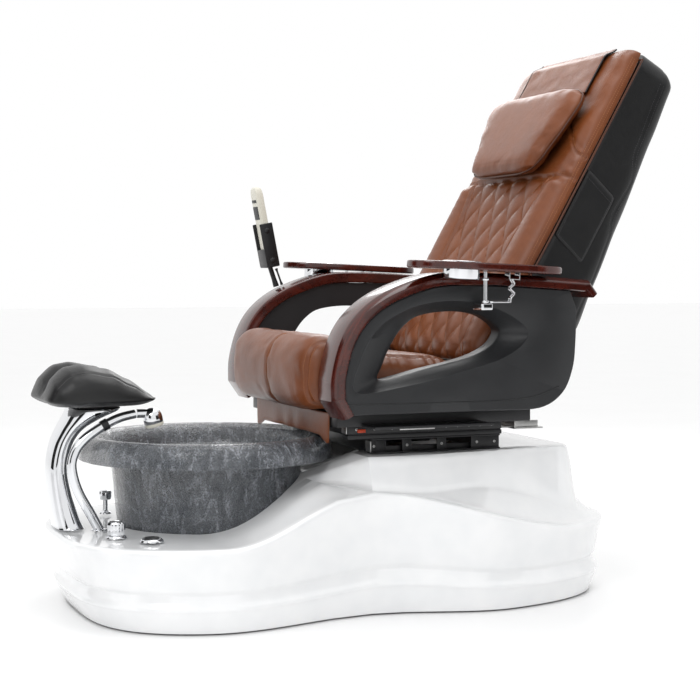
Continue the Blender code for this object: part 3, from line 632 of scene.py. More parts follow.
def wayIn(p, spine):  # shares of the way from the lip, close together on the pedestal's side
    met = []
    for distance in (base["foot"], base["foot"] * 0.7, base["foot"] * 0.3, 0.0):
        met.append(next((k / 200 for k in range(1, 200) if fromPedestal(*p.lerp(spine,
                                                                                k / 200)) <= distance),
                                                                                None))
    if None in met:
        return [0.12, 0.24, 0.36, 0.44, 0.52, 0.60, 0.80, 1.0]
    return [met[0] * 0.4, met[0] * 0.8, *met, met[3] * 0.5 + 0.5, 1.0]


def makeBase():
    floor = baseOutline(base["around"])
    walls = [(0, 0, 0, 0.004, 0), (0.006, 0.013, 0.009, 0.027, 0), (0.0115, 0.025, 0.017, 0.049, 0),
             (0.0135, 0.029, 0.020, 0.055, 0), (0.0125, 0.0285, 0.0200, 0.061, 0),
             (0.0070, 0.022, 0.014, 0.070, 0.02),
             (0.0030, 0.018, 0.010, 0.084, 0.05), (0.0028, 0.018, 0.0098, 0.089, 0.05),
             (0.0056, 0.025, 0.0145, 0.096, 0.07), (0.0075, 0.029, 0.017, 0.106, 0.12),
             (0.0105, 0.035, 0.022, 0.128, 0.34), (0.013, 0.040, 0.026, 0.150, 0.6),
             (0.0155, 0.0465, 0.032, 0.169, 0.89), (0.0163, 0.0490, 0.034, 0.177, 0.96),
             (0.0150, 0.0478, 0.0328, 0.1830, 0.99), (0.0110, 0.0440, 0.0290, 0.1866, 1.0),
             (0.0060, 0.0390, 0.0240, 0.1880, 1.0)]
    rings = []
    for side, front, rear, z, share in through(walls, 3):
        ring = []
        for i, p in enumerate(floor):
            run = floor[(i + 1) % len(floor)] - floor[i - 1]
            normal = Vector((run.y, -run.x)).normalized()
            spot = p + normal * (side * normal.x**2 + (front if normal.y < 0 else rear) * normal.y**2)
            wave = base["band"] * exp(-(((p.y + 0.04) / 0.17) ** 2)) * smoothstep(0.03, 0.05, z) * (
                1 - smoothstep(0.10, 0.13, z))
            ring.append((spot.x, spot.y, z + wave + share * (lipHeight(p.y) - base["deck"])))
        rings.append(ring)
    ways = []
    lip = [Vector(p[:2]) for p in rings[-1]]
    for p in lip:
        spine = Vector((0, min(0.33, max(-0.45, p.y))))
        shares = [0.0, *wayIn(p, spine)]
        ways.append([(a + (b - a) * k / 3, spine) for a, b in zip(shares, shares[1:]) for k in (1, 2, 3)])
    for step in range(len(ways[0])):
        ring = []
        for p, way in zip(lip, ways):
            spot = p.lerp(way[step][1], way[step][0])
            ring.append((spot.x, spot.y, topHeight(spot.x, spot.y, (spot - p).length)))
        rings.append(ring)
    count = len(lip)
    verts = [v for ring in rings for v in ring]
    faces = [(r * count + i, r * count + (i + 1) % count, (r + 1) * count + (i + 1) % count,
              (r + 1) * count + i)
             for r in range(len(rings) - 1) for i in range(count)]
    shell = makePiece("gelcoatShell", verts, faces, "gelcoat", None)
    if max(shell.data.polygons, key=lambda f: f.center.z + f.area).normal.z < 0:
        shell.data.flip_normals()
    wall = shell.modifiers.new("wall", "SOLIDIFY")
    wall.thickness, wall.offset = base["wall"], -1
    hole = [(0.2516, 0.3780), (0.2386, 0.3560), (0.2306, 0.3300), (0.2241, 0.2600), (0.2176, 0.2000),
            (0.22, 0.05)]
    cutter = makePiece("bowlHole", *lathe(hole, (0, bowl["y"], 0), steps=96), "gelcoat", None)
    cut = shell.modifiers.new("hole", "BOOLEAN")
    cut.operation, cut.object = "DIFFERENCE", cutter
    cut.use_self = True
    mesh = bpy.data.meshes.new_from_object(shell.evaluated_get(bpy.context.evaluated_depsgraph_get()))
    shell.modifiers.clear()
    shell.data = mesh
    bpy.data.objects.remove(cutter, do_unlink=True)
    dress(shell, "gelcoat", "base", ["base_shell"], 32)
    return shell


makeBase()
for node in ("base_frame", "bowl_cradle", "jet_motor", "slide_motor", "massage_carriage", "back_frame"):
    frame["nodes"][node].data.materials.clear()
    frame["nodes"][node].data.materials.append(finishes["steel"])
for corner in ("front_left", "front_right", "rear_left", "rear_right"):
    foot = frame["nodes"]["levelling_foot_" + corner]
    foot.data.materials.clear()
    foot.data.materials.append(finishes["rubber"])
print("base made")

# bowl, drain and jet


def makeBowl():
    lip = [(0.2700, 0.4000), (0.2800, 0.3988), (0.2900, 0.3935), (0.2965, 0.3850), (0.3010, 0.3730),
           (0.3045, 0.3600),
           (0.3062, 0.3470), (0.3052, 0.3452), (0.3030, 0.3452), (0.3005, 0.3590), (0.2960, 0.3700),
           (0.2895, 0.3800),
           (0.2800, 0.3870), (0.2680, 0.3885), (0.2560, 0.3830)]
    outside = [(0.2470, 0.3740), (0.2370, 0.3560), (0.2320, 0.3420), (0.2290, 0.3300), (0.2255, 0.2950),
               (0.2225, 0.2600),
               (0.2195, 0.2300), (0.2160, 0.2000), (0.2110, 0.1780), (0.2020, 0.1610), (0.1880, 0.1495),
               (0.1700, 0.1425),
               (0.1200, 0.1400), (0.0700, 0.1380), (0.0310, 0.1360)]
    inside = [(0.0310, 0.1425), (0.0700, 0.1435), (0.1200, 0.1455), (0.1680, 0.1485), (0.1850, 0.1555),
              (0.1970, 0.1660),
              (0.2060, 0.1830), (0.2100, 0.2030), (0.2130, 0.2300), (0.2165, 0.2600), (0.2200, 0.2980),
              (0.2230, 0.3320),
              (0.2262, 0.3480), (0.2315, 0.3600), (0.2390, 0.3750), (0.2480, 0.3870), (0.2580, 0.3960)]

    def swell(a, radius, height):  # cast unevenly, with soft lobes round the lip
        lobes = 0.0030 * sin(22 * a) * smoothstep(0.345, 0.385, height)
        flow = noise.noise(Vector((6 * cos(a), 6 * sin(a), height * 7))) * 0.0055
        return 1 + (lobes + flow) * smoothstep(0.10, 0.20, radius)

    profile = [(p.x, p.y) for p in through(lip + outside, 2)] + [(p.x, p.y) for p in through(inside, 2)]
    makePiece("castBowl", *lathe(profile, (0, bowl["y"], 0), steps=220, flute=swell, looped=True), "resin",
              "base",
              ["basin_bowl"], 60)
    at = (0, bowl["y"], 0)
    drain = [(0.0220, 0.1475), (0.0300, 0.1480), (0.0380, 0.1468), (0.0400, 0.1455), (0.0400, 0.1440),
             (0.0285, 0.1438),
             (0.0280, 0.0800), (0.0240, 0.0790), (0.0220, 0.0800)]
    makePiece("drainRing", *lathe(drain, at, looped=True), "chrome", "base", ["drain_fitting"])
    plug = [(0, 0.1545), (0.010, 0.1542), (0.0170, 0.1530), (0.0200, 0.1512), (0.0205, 0.1490),
            (0.0180, 0.1482),
            (0.0062, 0.1478), (0.0060, 0.0955), (0, 0.0950)]
    makePiece("plugCap", *lathe(plug, at), "chrome", "plug", ["drain_plug"])
    jetAt = (0, -0.178, 0.235)
    housing = [(0.0310, 0.026), (0.0350, 0.0262), (0.0395, 0.0235), (0.0400, 0.021), (0.0400, 0),
               (0.0110, 0),
               (0.0110, 0.006), (0.0310, 0.006)]
    makePiece("jetHousing", *lathe(housing, jetAt, (0, -1, 0), looped=True), "chrome", "base",
              ["jet_housing"])
    blades = [lathe([(0, 0.0015), (0.0095, 0.0010), (0.0100, -0.0010), (0.0100, -0.0140), (0, -0.0150)],
                    (0, -0.2020, 0.235), (0, -1, 0), steps=32)]
    for k in range(6):
        turn = Matrix.Translation((0, -0.1935, 0.235)) @ Matrix.Rotation(k * pi / 3, 4, "Y")
        blades.append(block((0.007, -0.0062, -0.0016), (0.026, 0.0062, 0.0016), 0.0008,
                            turn @ Matrix.Rotation(0.35, 4, "X")))
    makePiece("jetRotor", *gather(blades), "black", "impeller", ["jet_impeller"])


makeBowl()


# footrest column and pad

column = [(0.1935, -0.752, -0.686, 0.074), (0.200, -0.752, -0.690, 0.070), (0.225, -0.757, -0.700, 0.064),
          (0.280, -0.764, -0.716, 0.057), (0.335, -0.767, -0.724, 0.054), (0.385, -0.758, -0.713, 0.056),
          (0.420, -0.743, -0.690, 0.062), (0.445, -0.729, -0.650, 0.070), (0.463, -0.719, -0.608, 0.077),
          (0.4695, -0.716, -0.600, 0.0765)]


def makeColumn():
    rings = []
    for z, front, rear, half in through(column, 5):
        ring = []
        for k in range(72):
            across, along = cos(2 * pi * k / 72), sin(2 * pi * k / 72)
            ring.append((copysign(abs(across) ** 0.6, across) * half,
                         (front + rear) / 2 + copysign(abs(along) ** 0.8, along) * (rear - front) / 2, z))
        rings.append(ring)
    makePiece("chromeColumn", *ringSkin(rings), "chrome", "base", ["footrest_column"], 60)
    makePiece("padBracket", *gather([block((-0.045, -0.705, 0.4698), (0.045, -0.612, 0.4815), 0.002),
                                     block((-0.058, -0.700, 0.4705), (0.058, -0.606, 0.4745), 0.0015)]),
              "black", "base", ["footrest_bracket"])


footPad = {"half": 0.152, "front": -0.788, "rear": -0.529, "bottom": 0.4835,
           "top": [(-0.790, 0.520), (-0.769, 0.549), (-0.734, 0.566), (-0.701, 0.570), (-0.640, 0.559),
                   (-0.592, 0.536), (-0.544, 0.510), (-0.525, 0.495)]}


def makeFootPad():
    pad = footPad
    middle, reach = (pad["front"] + pad["rear"]) / 2, (pad["rear"] - pad["front"]) / 2

    def top(x, v):  # two lobes with a valley between them
        rise = heightAt(pad["top"], middle + v * reach) - pad["bottom"] - 0.012
        return rise - 0.022 * exp(-((x / 0.026) ** 2)) - 0.010 * smoothstep(0.06, 0.152, abs(x))

    skin = padSkin(84, 84, lambda v: pad["half"] * (1 - 0.10 * v**2), top, lambda x, v: 0.012,
                   lambda x, v, h: (x, middle + v * reach, pad["bottom"] + 0.012 + h), 0.09, 7.0, 2.3)
    piece = makePiece("footCushion", *skin, "blackLeather", "base", ["footrest_pad"])
    plump(piece, 3.0, 0.006)

    def seams(p):  # the middle seam and the two welts
        away = min(abs(p.x), abs(abs(p.x) - 0.118) * 1.3)
        return (0, 0, -0.0035 * exp(-((away / 0.0035) ** 2)) * smoothstep(0.500, 0.52, p.z))

    crease(piece, seams)
    line = [[(x, middle + v * reach, 0) for v in (k / 30 for k in range(-26, 27))] for x in (-0.007, 0.007)]
    sew("footSeams", [laidOn([(x, y, 0.54) for x, y, z in run], piece, (0, 0, -1), 0.0002) for run in line],
        "darkThread", "base", Spacing=0.005, Length=0.0036, Width=0.0008)


makeColumn()
makeFootPad()
print("footrest made")


# taps and button on the deck


def makeTaps():
    path = [(0.086, -0.664, 0.1936), (0.090, -0.684, 0.231), (0.094, -0.711, 0.279), (0.096, -0.725, 0.318),
            (0.097, -0.729, 0.353), (0.097, -0.718, 0.384), (0.097, -0.697, 0.407), (0.096, -0.668, 0.427),
            (0.095, -0.640, 0.442), (0.094, -0.612, 0.453), (0.093, -0.580, 0.4595)]
    run = through(path, 6)
    flange = lathe([(0, 0.004), (0.0160, 0.004), (0.0185, 0.0022), (0.0188, 0), (0, 0)],
                   (0.086, -0.664, 0.1928), steps=48)
    collar = pipe([run[44], run[45], run[46], run[47]], 0.0131, 32)
    makePiece("spoutTube", *gather([pipe(run, lambda t: 0.0115 - 0.0012 * smoothstep(0.6, 1, t), 32),
                                    flange]), "chrome",
              "base", ["faucet_spout"])
    makePiece("spoutCollar", *collar, "black", "base")
    head = Vector((0.093, -0.5775, 0.4600))
    tilt = Vector((0, -0.25, 0.97))
    dome = [(0, 0.0240), (0.006, 0.0236), (0.0115, 0.0215), (0.0165, 0.0175), (0.0200, 0.0120),
            (0.0220, 0.0055),
            (0.0226, -0.0010), (0.0225, -0.0100), (0.0215, -0.0120), (0, -0.0120)]
    neck = pipe([head + Vector((0, 0.0008, 0)), head + Vector((0, 0.012, 0.0)),
                 head + Vector((0, 0.030, -0.001))],
                0.0102, 32)
    makePiece("sprayDome", *gather([lathe(dome, head + Vector((0, 0.040, -0.011)), tilt, 56), neck]),
              "chrome",
              "spray", ["spray_head"])
    face = [(0, -0.0005), (0.0215, 0), (0.0220, -0.0020), (0.0208, -0.0070), (0.0185, -0.0082),
            (0.0150, -0.0070),
            (0, -0.0066)]
    makePiece("sprayFace", *lathe(face, head + Vector((0, 0.0431, -0.0232)), tilt, 56), "ivory", "spray",
              ["spray_nozzle"])
    ring = [(0, 0.0055), (0.0175, 0.0056), (0.0200, 0.0048), (0.0232, 0.0015), (0.0236, 0), (0, 0)]
    makePiece("mixerFoot", *lathe(ring, (0.200, -0.652, 0.1925)), "chrome", "base", ["mixer_ring"])

    def facets(count, depth):
        return lambda a, radius, height: 1 - depth * abs(sin(a * count / 2)) ** 3

    knobAt = (0.200, -0.652, 0.1984)
    knob = [(0, 0.0288), (0.0150, 0.0288), (0.0158, 0.0302), (0.0178, 0.0300), (0.0203, 0.0262),
            (0.0207, 0.0230),
            (0.0205, 0.0070), (0.0196, 0.0030), (0.0185, 0), (0, 0)]
    makePiece("mixerHandle", *lathe(knob, knobAt, steps=96, flute=facets(8, 0.055)), "chrome", "mixer",
              ["mixer_knob"])
    makePiece("mixerTop", *gather([lathe([(0, 0.0298), (0.0140, 0.0296), (0.0148, 0.0286), (0, 0.0280)],
                                         knobAt),
                                   block((0.1985, -0.6650, 0.2275), (0.2015, -0.6560, 0.2286), 0.0004)]),
              "black", "mixer")
    stemAt = (-0.165, -0.590, 0.1925)
    stem = [(0, 0.034), (0.0055, 0.034), (0.0060, 0.033), (0.0060, 0.010), (0.0080, 0.0065),
            (0.0135, 0.0045),
            (0.0150, 0.0020), (0.0150, 0), (0, 0)]
    makePiece("diverterFoot", *lathe(stem, stemAt), "chrome", "base", ["diverter_stem"])
    cap = [(0, 0.0243), (0.0100, 0.0240), (0.0145, 0.0225), (0.0165, 0.0190), (0.0163, 0.0120),
           (0.0150, 0.0040),
           (0.0135, 0.0010), (0.0100, 0), (0, 0)]
    makePiece("diverterHandle", *lathe(cap, (-0.165, -0.590, 0.2269), steps=96, flute=facets(6, 0.05)),
              "chrome",
              "diverter", ["diverter_knob"])
    at = (0.282, -0.592, 0.1925)
    bezel = [(0.0180, 0.0060), (0.0195, 0.0074), (0.0215, 0.0072), (0.0250, 0.0040), (0.0265, 0.0008),
             (0.0265, 0),
             (0.0180, 0)]
    makePiece("buttonRing", *lathe(bezel, at, looped=True), "chrome", "base", ["button_bezel"])
    disc = [(0, 0.0100), (0.0060, 0.0099), (0.0065, 0.0106), (0.0120, 0.0104), (0.0155, 0.0097),
            (0.0172, 0.0082),
            (0.0174, 0.0040), (0, 0.0040)]
    makePiece("buttonDisc", *lathe(disc, at), "black", "button", ["air_button"])


makeTaps()
print("taps made")


# seat slide and frames

slide = {"low": 0.3623, "middle": 0.3983, "high": 0.4300}


def makeSlide():
    rails, caps, tabs = [], [], []
    low, top = slide["low"], 0.3980
    for side in (-1, 1):
        near, far = sorted((side * 0.232, side * 0.270))
        web = sorted((side * 0.2600, side * 0.2640))
        rails.append(block((near, -0.060, low), (far, 0.275, low + 0.004),
                           0.0012))  # flanges, web and uprights
        rails.append(block((near, -0.060, top - 0.004), (far, 0.275, top), 0.0012))
        for y1, y2 in ((-0.060, -0.046), (0.020, 0.044), (0.110, 0.134), (0.200, 0.275)):
            rails.append(block((web[0], y1, low + 0.002), (web[1], y2, top - 0.002), 0.0010))
        rails.append(block((web[0] - side * 0.012, -0.056, low + 0.002),
                           (web[1] - side * 0.014, 0.272, low + 0.016),
                           0.0012))
        caps.append(block((near + 0.004, -0.0625, low + 0.004), (far - 0.004, -0.0600, top - 0.006), 0.001))
    for y in (-0.050, 0.235):
        rails.append(block((-0.262, y, low + 0.001), (0.262, y + 0.030, top - 0.004), 0.002))
    makePiece("slideBed", *gather(rails), "steel", "base", ["slide_base_frame"])
    makePiece("slideCaps", *gather(caps), "zinc", "base")

    rails, caps = [], []
    low, top = slide["middle"], slide["high"]
    for side in (-1, 1):
        near, far = sorted((side * 0.236, side * 0.272))
        rails.append(block((near, -0.122, low), (far, 0.278, low + 0.0105), 0.0015))
        rails.append(block((near, -0.122, low + 0.0125), (far, 0.278, top), 0.0020))
        rails.append(block((near + 0.003, -0.120, low + 0.009), (far - 0.003, 0.276, low + 0.014), 0.0005))
        caps.append(block((near + 0.003, -0.1245, low + 0.013), (far - 0.003, -0.1218, top - 0.002), 0.001))
        slot = sorted((side * 0.2716, side * 0.2728))
        tabs.append(block((slot[0], 0.010, low + 0.0180), (slot[1], 0.100, low + 0.0245), 0.0005))
    for y, bottom in ((-0.112, 0.4060), (0.240, low + 0.001)):
        rails.append(block((-0.252, y, bottom), (0.252, y + 0.028, top - 0.001), 0.002))
    makePiece("slideCarriage", *gather(rails), "steel", "seat", ["slide_carriage"])
    makePiece("carriageCaps", *gather(caps + tabs), "zinc", "seat")
    makePiece("releaseTab", *block((0.2700, -0.098, low + 0.0155), (0.2765, -0.078, low + 0.0240), 0.0015),
              "redTab",
              "seat")

    low, top = 0.4303, 0.4625
    rails = []
    for side in (-1, 1):
        near, far = sorted((side * 0.250, side * 0.3020))
        rails.append(block((near, -0.160, low), (far, 0.340, top), 0.0025))
        near, far = sorted((side * 0.290, side * 0.384))
        rails.append(block((near, -0.100, low + 0.0005), (far, 0.200, low + 0.006), 0.001))
        near, far = sorted((side * 0.2665, side * 0.2745))
        rails.append(block((near, 0.317, low + 0.01), (far, 0.353, 0.540), 0.0012))
        rails.append(lathe([(0, 0.0002), (0.0185, 0.0002), (0.0185, -0.0084), (0, -0.0084)],
                           (side * 0.2745, 0.335, 0.540), (side, 0, 0), 40))
    rails.append(block((-0.270, -0.158, low + 0.001), (0.270, -0.128, top - 0.001), 0.002))
    rails.append(block((-0.270, 0.200, low + 0.001), (0.270, 0.240, low + 0.008), 0.001))
    makePiece("seatFrame", *gather(rails), "steel", "seat", ["seat_frame"])
    bracket = [block((-0.200, 0.3500, 0.4000), (0.200, 0.3535, 0.4260), 0.001),
               block((-0.200, 0.3500, 0.4000), (0.200, 0.4300, 0.4035), 0.001),
               block((-0.180, 0.2785, 0.4020), (0.180, 0.3600, 0.4060), 0.001)]
    for x in (-0.19, -0.06, 0.06, 0.19):
        bracket.append(block((x - 0.002, 0.3520, 0.4010), (x + 0.002, 0.4200, 0.4200), 0.001))
    makePiece("rearShelf", *gather(bracket), "zinc", "seat", ["rear_bracket"])
    makePiece("axleBar", *lathe([(0, 0.5316), (0.007, 0.5316), (0.008, 0.5306), (0.008, 0.001), (0.007, 0),
                                 (0, 0)],
                                (-0.2658, 0.335, 0.540), (1, 0, 0), 32), "chrome", "seat", ["recline_axle"])
    tube = [(0.0068, 0.2577), (0.0140, 0.2577), (0.0150, 0.2560), (0.0150, 0.2400), (0.0140, 0.2380),
            (0.0140, 0.001),
            (0.0130, 0), (0, 0), (0, 0.138), (0.0068, 0.138)]
    makePiece("actuatorTube", *lathe(tube, (0, -0.1277, 0.4475), (0, 1, 0), 40), "steel", "seat",
              ["recline_actuator"])
    rod = [(0, 0.252), (0.005, 0.252), (0.006, 0.251), (0.006, 0.001), (0.005, 0), (0, 0)]
    makePiece("actuatorRod", *lathe(rod, (0, 0.060, 0.4475), (0, 1, 0), 32), "chrome", "actuator_rod",
              ["recline_rod"])
    spots = {"seat": [], "base": []}
    for y in (-0.10, -0.055, -0.010, 0.130, 0.160, 0.190, 0.220, 0.250):
        spots["seat"].append([(0.2720, y, 0.4215)])
    for y in (-0.053, 0.032, 0.122, 0.215, 0.262):
        spots["base"].append([(0.2640, y, 0.3800)])
    for body, places in spots.items():
        for side in (-1, 1):
            grown(body + "Screws" + ("Right", "", "Left")[side + 1],
                  [[(side * p[0][0], *p[0][1:])] for p in places],
                  "screws", "zinc", body, Radius=0.0031, Facing=(side, 0, 0))


makeSlide()
print("slide made")

# seat cushions


seat = {"half": 0.282, "front": -0.105, "rear": 0.165, "bottom": 0.4635, "topFront": 0.598,
        "topRear": 0.580}
bolster = {"half": 0.283, "y": -0.1715, "z": 0.5545, "deep": 0.0645, "high": 0.0900}


def makeSeat():
    middle, reach = (seat["front"] + seat["rear"]) / 2, (seat["rear"] - seat["front"]) / 2

    def top(x, v):
        slope = (seat["topRear"] - seat["topFront"]) / 2
        return (seat["topFront"] + seat["topRear"]) / 2 - 0.53 + slope * v

    skin = padSkin(90, 60, lambda v: seat["half"], top, lambda x, v: 0.53 - seat["bottom"],
                   lambda x, v, h: (x, middle + v * reach, 0.53 + h), 0.02, 14.0, 2.6)
    piece = makePiece("seatPad", *skin, "leather", "seat", ["seat_cushion"])
    plump(piece, 4.0, 0.007)

    def folds(p):
        side = smoothstep(0.20, 0.27, abs(p.x))
        puckers = 0.0022 * sin(p.y * 210 + 2 * sin(p.y * 60)) * side
        welt = exp(-(((abs(p.x) - 0.236) / 0.0045) ** 2)) + exp(-(((p.y - 0.150) / 0.0045) ** 2)) * 0.6
        return (0, 0, (puckers - 0.006 * welt) * smoothstep(0.54, 0.57, p.z))

    crease(piece, folds)
    lines = [[(side * x, y / 100, 0) for y in range(-9, 15)] for side in (-1, 1) for x in (0.229, 0.243)]
    sew("seatSeams", [laidOn([(x, y, 0.58) for x, y, z in line], piece, (0, 0, -1),
                             0.0002) for line in lines],
        "thread", "seat", Spacing=0.0055, Length=0.004, Width=0.0009)


def makeBolster():
    rings = []
    for u in softEdges(110, 2.0):
        fall = max(0.02, (1 - abs(u) ** 11)) ** (1 / 2.2)
        ring = []
        for k in range(96):
            across, along = cos(2 * pi * k / 96), sin(2 * pi * k / 96)
            power = 0.80 if along > 0 else 0.62
            y = copysign(abs(across) ** power, across) * bolster["deep"]
            z = copysign(abs(along) ** power, along) * bolster["high"]
            ring.append((u * bolster["half"], bolster["y"] + y * fall,
                         bolster["z"] + z * (0.25 + 0.75 * fall)))
        rings.append(ring)
    piece = makePiece("kneeBolster", *ringSkin(rings), "leather", "seat", ["front_bolster"], 80)
    plump(piece, 4.0, 0.006)
    seams = (0.042, 0.262, -0.262)

    def folds(p):
        sewn = sum(exp(-(((p.x - x) / 0.0035) ** 2)) for x in seams)
        away = min(abs(p.x - x) for x in seams)
        out = Vector((0, p.y - bolster["y"], p.z - bolster["z"]))
        wave = sin(out.to_2d().length * 5 + 34 * (p.z + 0.4 * p.y) + 5 * noise.noise(p * 22))
        tuck = 0.0016 * wave * exp(-away / 0.030)
        loose = 0.0022 * noise.noise(Vector((p.x * 16, p.y * 9, p.z * 34)))
        return out.normalized() * (tuck + loose - 0.0062 * sewn)

    crease(piece, folds)
    lines = []
    for x in (0.036, 0.048, 0.256, 0.268, -0.256, -0.268):
        line = []
        for k in range(61):
            a = radians(-70 + k * 240 / 60)
            look = Vector((0, cos(a), -sin(a)))  # inwards, round the front and the top
            line += laidOn([(x, bolster["y"] - cos(a) * 0.075, bolster["z"] + sin(a) * 0.100)], piece, look,
                           0.0002)
        lines.append(line)
    sew("bolsterSeams", lines, "thread", "seat", Spacing=0.0055, Length=0.004, Width=0.0009)


def makeFlap():
    hem = [(0.0, 0.4062), (0.10, 0.4062), (0.20, 0.4052), (0.235, 0.3935), (0.247, 0.3893), (0.262, 0.3925)]
    verts, faces = [], []
    across, along = 96, 26
    for face in (1, -1):
        first = len(verts)
        for j in range(along + 1):
            for i in range(across + 1):
                u, v = softEdges(across)[i], softEdges(along)[j]
                x = u * 0.261
                low = heightAt(hem, abs(x)) + 0.0004
                z = low + (0.4615 - low) * (v + 1) / 2
                edge = max(0.0, (1 - abs(u) ** 22) * (1 - abs(v) ** 10)) ** 0.45
                soft = 0.0016 * sin(x * 46 + 3 * sin(x * 13)) * (1 - v) / 2
                verts.append(Vector((x, -0.1627 + soft - face * 0.0023 * edge, z)))
        for j in range(along):
            for i in range(across):
                a = first + j * (across + 1) + i
                faces.append((a, a + 1, a + across + 2, a + across + 1) if face > 0
                             else (a + across + 1, a + across + 2, a + 1, a))
    piece = makePiece("calfFlap", verts, faces, "leather", "seat", ["calf_flap"])
    line = [(x / 100, -0.1654, heightAt(hem, abs(x / 100)) + 0.0075) for x in range(-25, 26)]
    sew("flapSeam", [line], "thread", "seat", Spacing=0.0055, Length=0.004, Width=0.0009)


makeSeat()
makeBolster()
makeFlap()
print("seat made")


# arms

arm = {"thick": 0.028}
armKnots = [(-0.178, 0.454), (-0.205, 0.497), (-0.203, 0.556), (-0.183, 0.630), (-0.150, 0.685),
            (-0.098, 0.729),
            (-0.029, 0.761), (0.053, 0.783), (0.150, 0.786), (0.300, 0.779), (0.451, 0.768), (0.473, 0.743)]
panelPlan = {"in": 0.3025, "out": 0.390, "middle": (0.085, 0.622), "around": 300}
window = [(-0.072, 0.541), (-0.066, 0.576), (-0.042, 0.626), (-0.011, 0.665), (0.030, 0.688),
          (0.108, 0.696),
          (0.181, 0.686), (0.228, 0.655), (0.223, 0.629), (0.194, 0.606), (0.141, 0.586), (0.039, 0.564)]
recess = [(-0.147, 0.517), (-0.138, 0.585), (-0.106, 0.645), (-0.060, 0.684), (0.020, 0.714),
          (0.125, 0.719),
          (0.222, 0.694), (0.283, 0.652), (0.268, 0.616), (0.210, 0.584), (0.120, 0.560), (-0.020, 0.530)]


def insetLine(points, distance):
    moved = []
    for i, point in enumerate(points):
        run = points[min(i + 1, len(points) - 1)] - points[max(i - 1, 0)]
        moved.append(point + Vector((run.y, -run.x)).normalized() * distance)
    return moved


def spaced(points, count):  # evenly spaced points round a closed line
    lengths = [0.0]
    ring = points + [points[0]]
    for a, b in zip(ring, ring[1:]):
        lengths.append(lengths[-1] + (b - a).length)
    made, at = [], 0
    for k in range(count):
        want = lengths[-1] * k / count
        while lengths[at + 1] < want:
            at += 1
        share = (want - lengths[at]) / max(1e-9, lengths[at + 1] - lengths[at])
        made.append(ring[at].lerp(ring[at + 1], share))
    return made


def seenFrom(middle, directions, outline):  # where each direction from the middle meets a closed line
    middle, ring, made = Vector(middle), outline + [outline[0]], []
    for d in directions:
        best = 0.0
        for a, b in zip(ring, ring[1:]):
            p, q = a - middle, b - a
            cross = d.x * q.y - d.y * q.x
            if abs(cross) > 1e-12:
                t = (p.x * q.y - p.y * q.x) / cross
                s = (p.x * d.y - p.y * d.x) / cross
                if -1e-6 <= s <= 1 + 1e-6 and t > best:
                    best = t
        made.append(middle + d * best)
    return made


def makeArm(side, name):
    outer = [Vector(armKnots[0])] + through(armKnots[1:-1], 9) + [Vector(armKnots[-1])]
    section = [(0.292, 0.0), (0.2925, -0.0030), (0.2945, -0.0052), (0.298, -0.006), (0.376, -0.006),
               (0.3800, -0.0052),
               (0.3955, 0.0015), (0.3985, 0.0045), (0.400, 0.0090), (0.400, 0.0200), (0.3985, 0.0212),
               (0.3965, 0.022),
               (0.2955, 0.022), (0.2930, 0.0212), (0.292, 0.0190)]
    rings = []
    for i, p in enumerate(outer):
        run = (outer[min(i + 1, len(outer) - 1)] - outer[max(i - 1, 0)]).normalized()
        normal = Vector((run.y, -run.x))
        ends = min(i, len(outer) - 1 - i)
        shrink = (0.80, 0.97)[ends] if ends < 2 else 1.0
        rings.append([(side * (0.346 + (x - 0.346) * (1 - (1 - shrink) * 0.06)),
                       *(p + normal * (0.014 + (n - 0.008) * shrink)))
                      for x, n in section])
    makePiece("armWood" + name, *ringSkin(rings), "wood", "seat", ["arm_trim_" + name.lower()], 24)

    plan = panelPlan
    top = insetLine(through(armKnots[1:-1], 9), arm["thick"] + 0.0006)[3:-3]
    rear = through([(0.416, 0.700), (0.414, 0.623), (0.407, 0.560), (0.380, 0.502), (0.321, 0.468),
                    (0.209, 0.4648)], 6)
    edge = spaced([Vector(p) for p in top] + rear + [Vector((-0.1710, 0.4648))], plan["around"])
    middle = Vector(plan["middle"])
    directions = [(p - middle).normalized() for p in edge]
    hollow = seenFrom(middle, directions, through(recess, 6, True))
    hole = seenFrom(middle, directions, through(window, 6, True))

    def ring(points, x, inset=0.0):
        return [(side * x, *(p - (p - middle).normalized() * inset)) for p in points]

    rings = [ring(edge, plan["in"]), ring(edge, 0.3800), ring(edge, 0.3850, 0.0004),
             ring(edge, 0.3885, 0.0018),
             ring(edge, 0.3900, 0.0045), ring([a.lerp(b, 0.5) for a, b in zip(edge, hollow)], 0.3902),
             ring(hollow, 0.3900, -0.0030), ring(hollow, 0.3892, -0.0008), ring(hollow, 0.3870, 0.0006),
             ring([a.lerp(b, 0.4) for a, b in zip(hollow, hole)], 0.3720),
             ring([a.lerp(b, 0.8) for a, b in zip(hollow, hole)], 0.3560), ring(hole, 0.3490, -0.0030),
             ring(hole, 0.3460, -0.0008), ring(hole, 0.3430), ring(hole, 0.3100),
             ring(hole, 0.3045, -0.0008),
             ring(hole, plan["in"], -0.0030)]
    makePiece("armPanel" + name, *ringSkin(rings, looped=True), "panel", "seat",
              ["side_panel_" + name.lower()], 30)
    # a thin black bead along the groove line near the panel's lower edge: painted shade of the groove, not
    # a part of its own
    band = [(side * 0.3903, y, z) for y, z in through([(-0.168, 0.4905), (0.02, 0.4885), (0.20, 0.4890),
                                                       (0.300, 0.4960),
                                                       (0.3690, 0.5180)], 8)]
    makePiece("armBand" + name, *pipe(band, 0.0011, 8), "black", "seat")
    caps = [[(side * 0.3023, 0.250, 0.735)], [(side * 0.3023, 0.330, 0.720)]]
    grown("armScrews" + name, caps, "screws", "black", "seat", Radius=0.0075, Facing=(-side, 0, 0))


makeArm(1, "Left")
makeArm(-1, "Right")


# hand control

control = Matrix.Translation((-0.372, -0.087, 0.800)) @ Matrix.Rotation(radians(11), 4, "X")


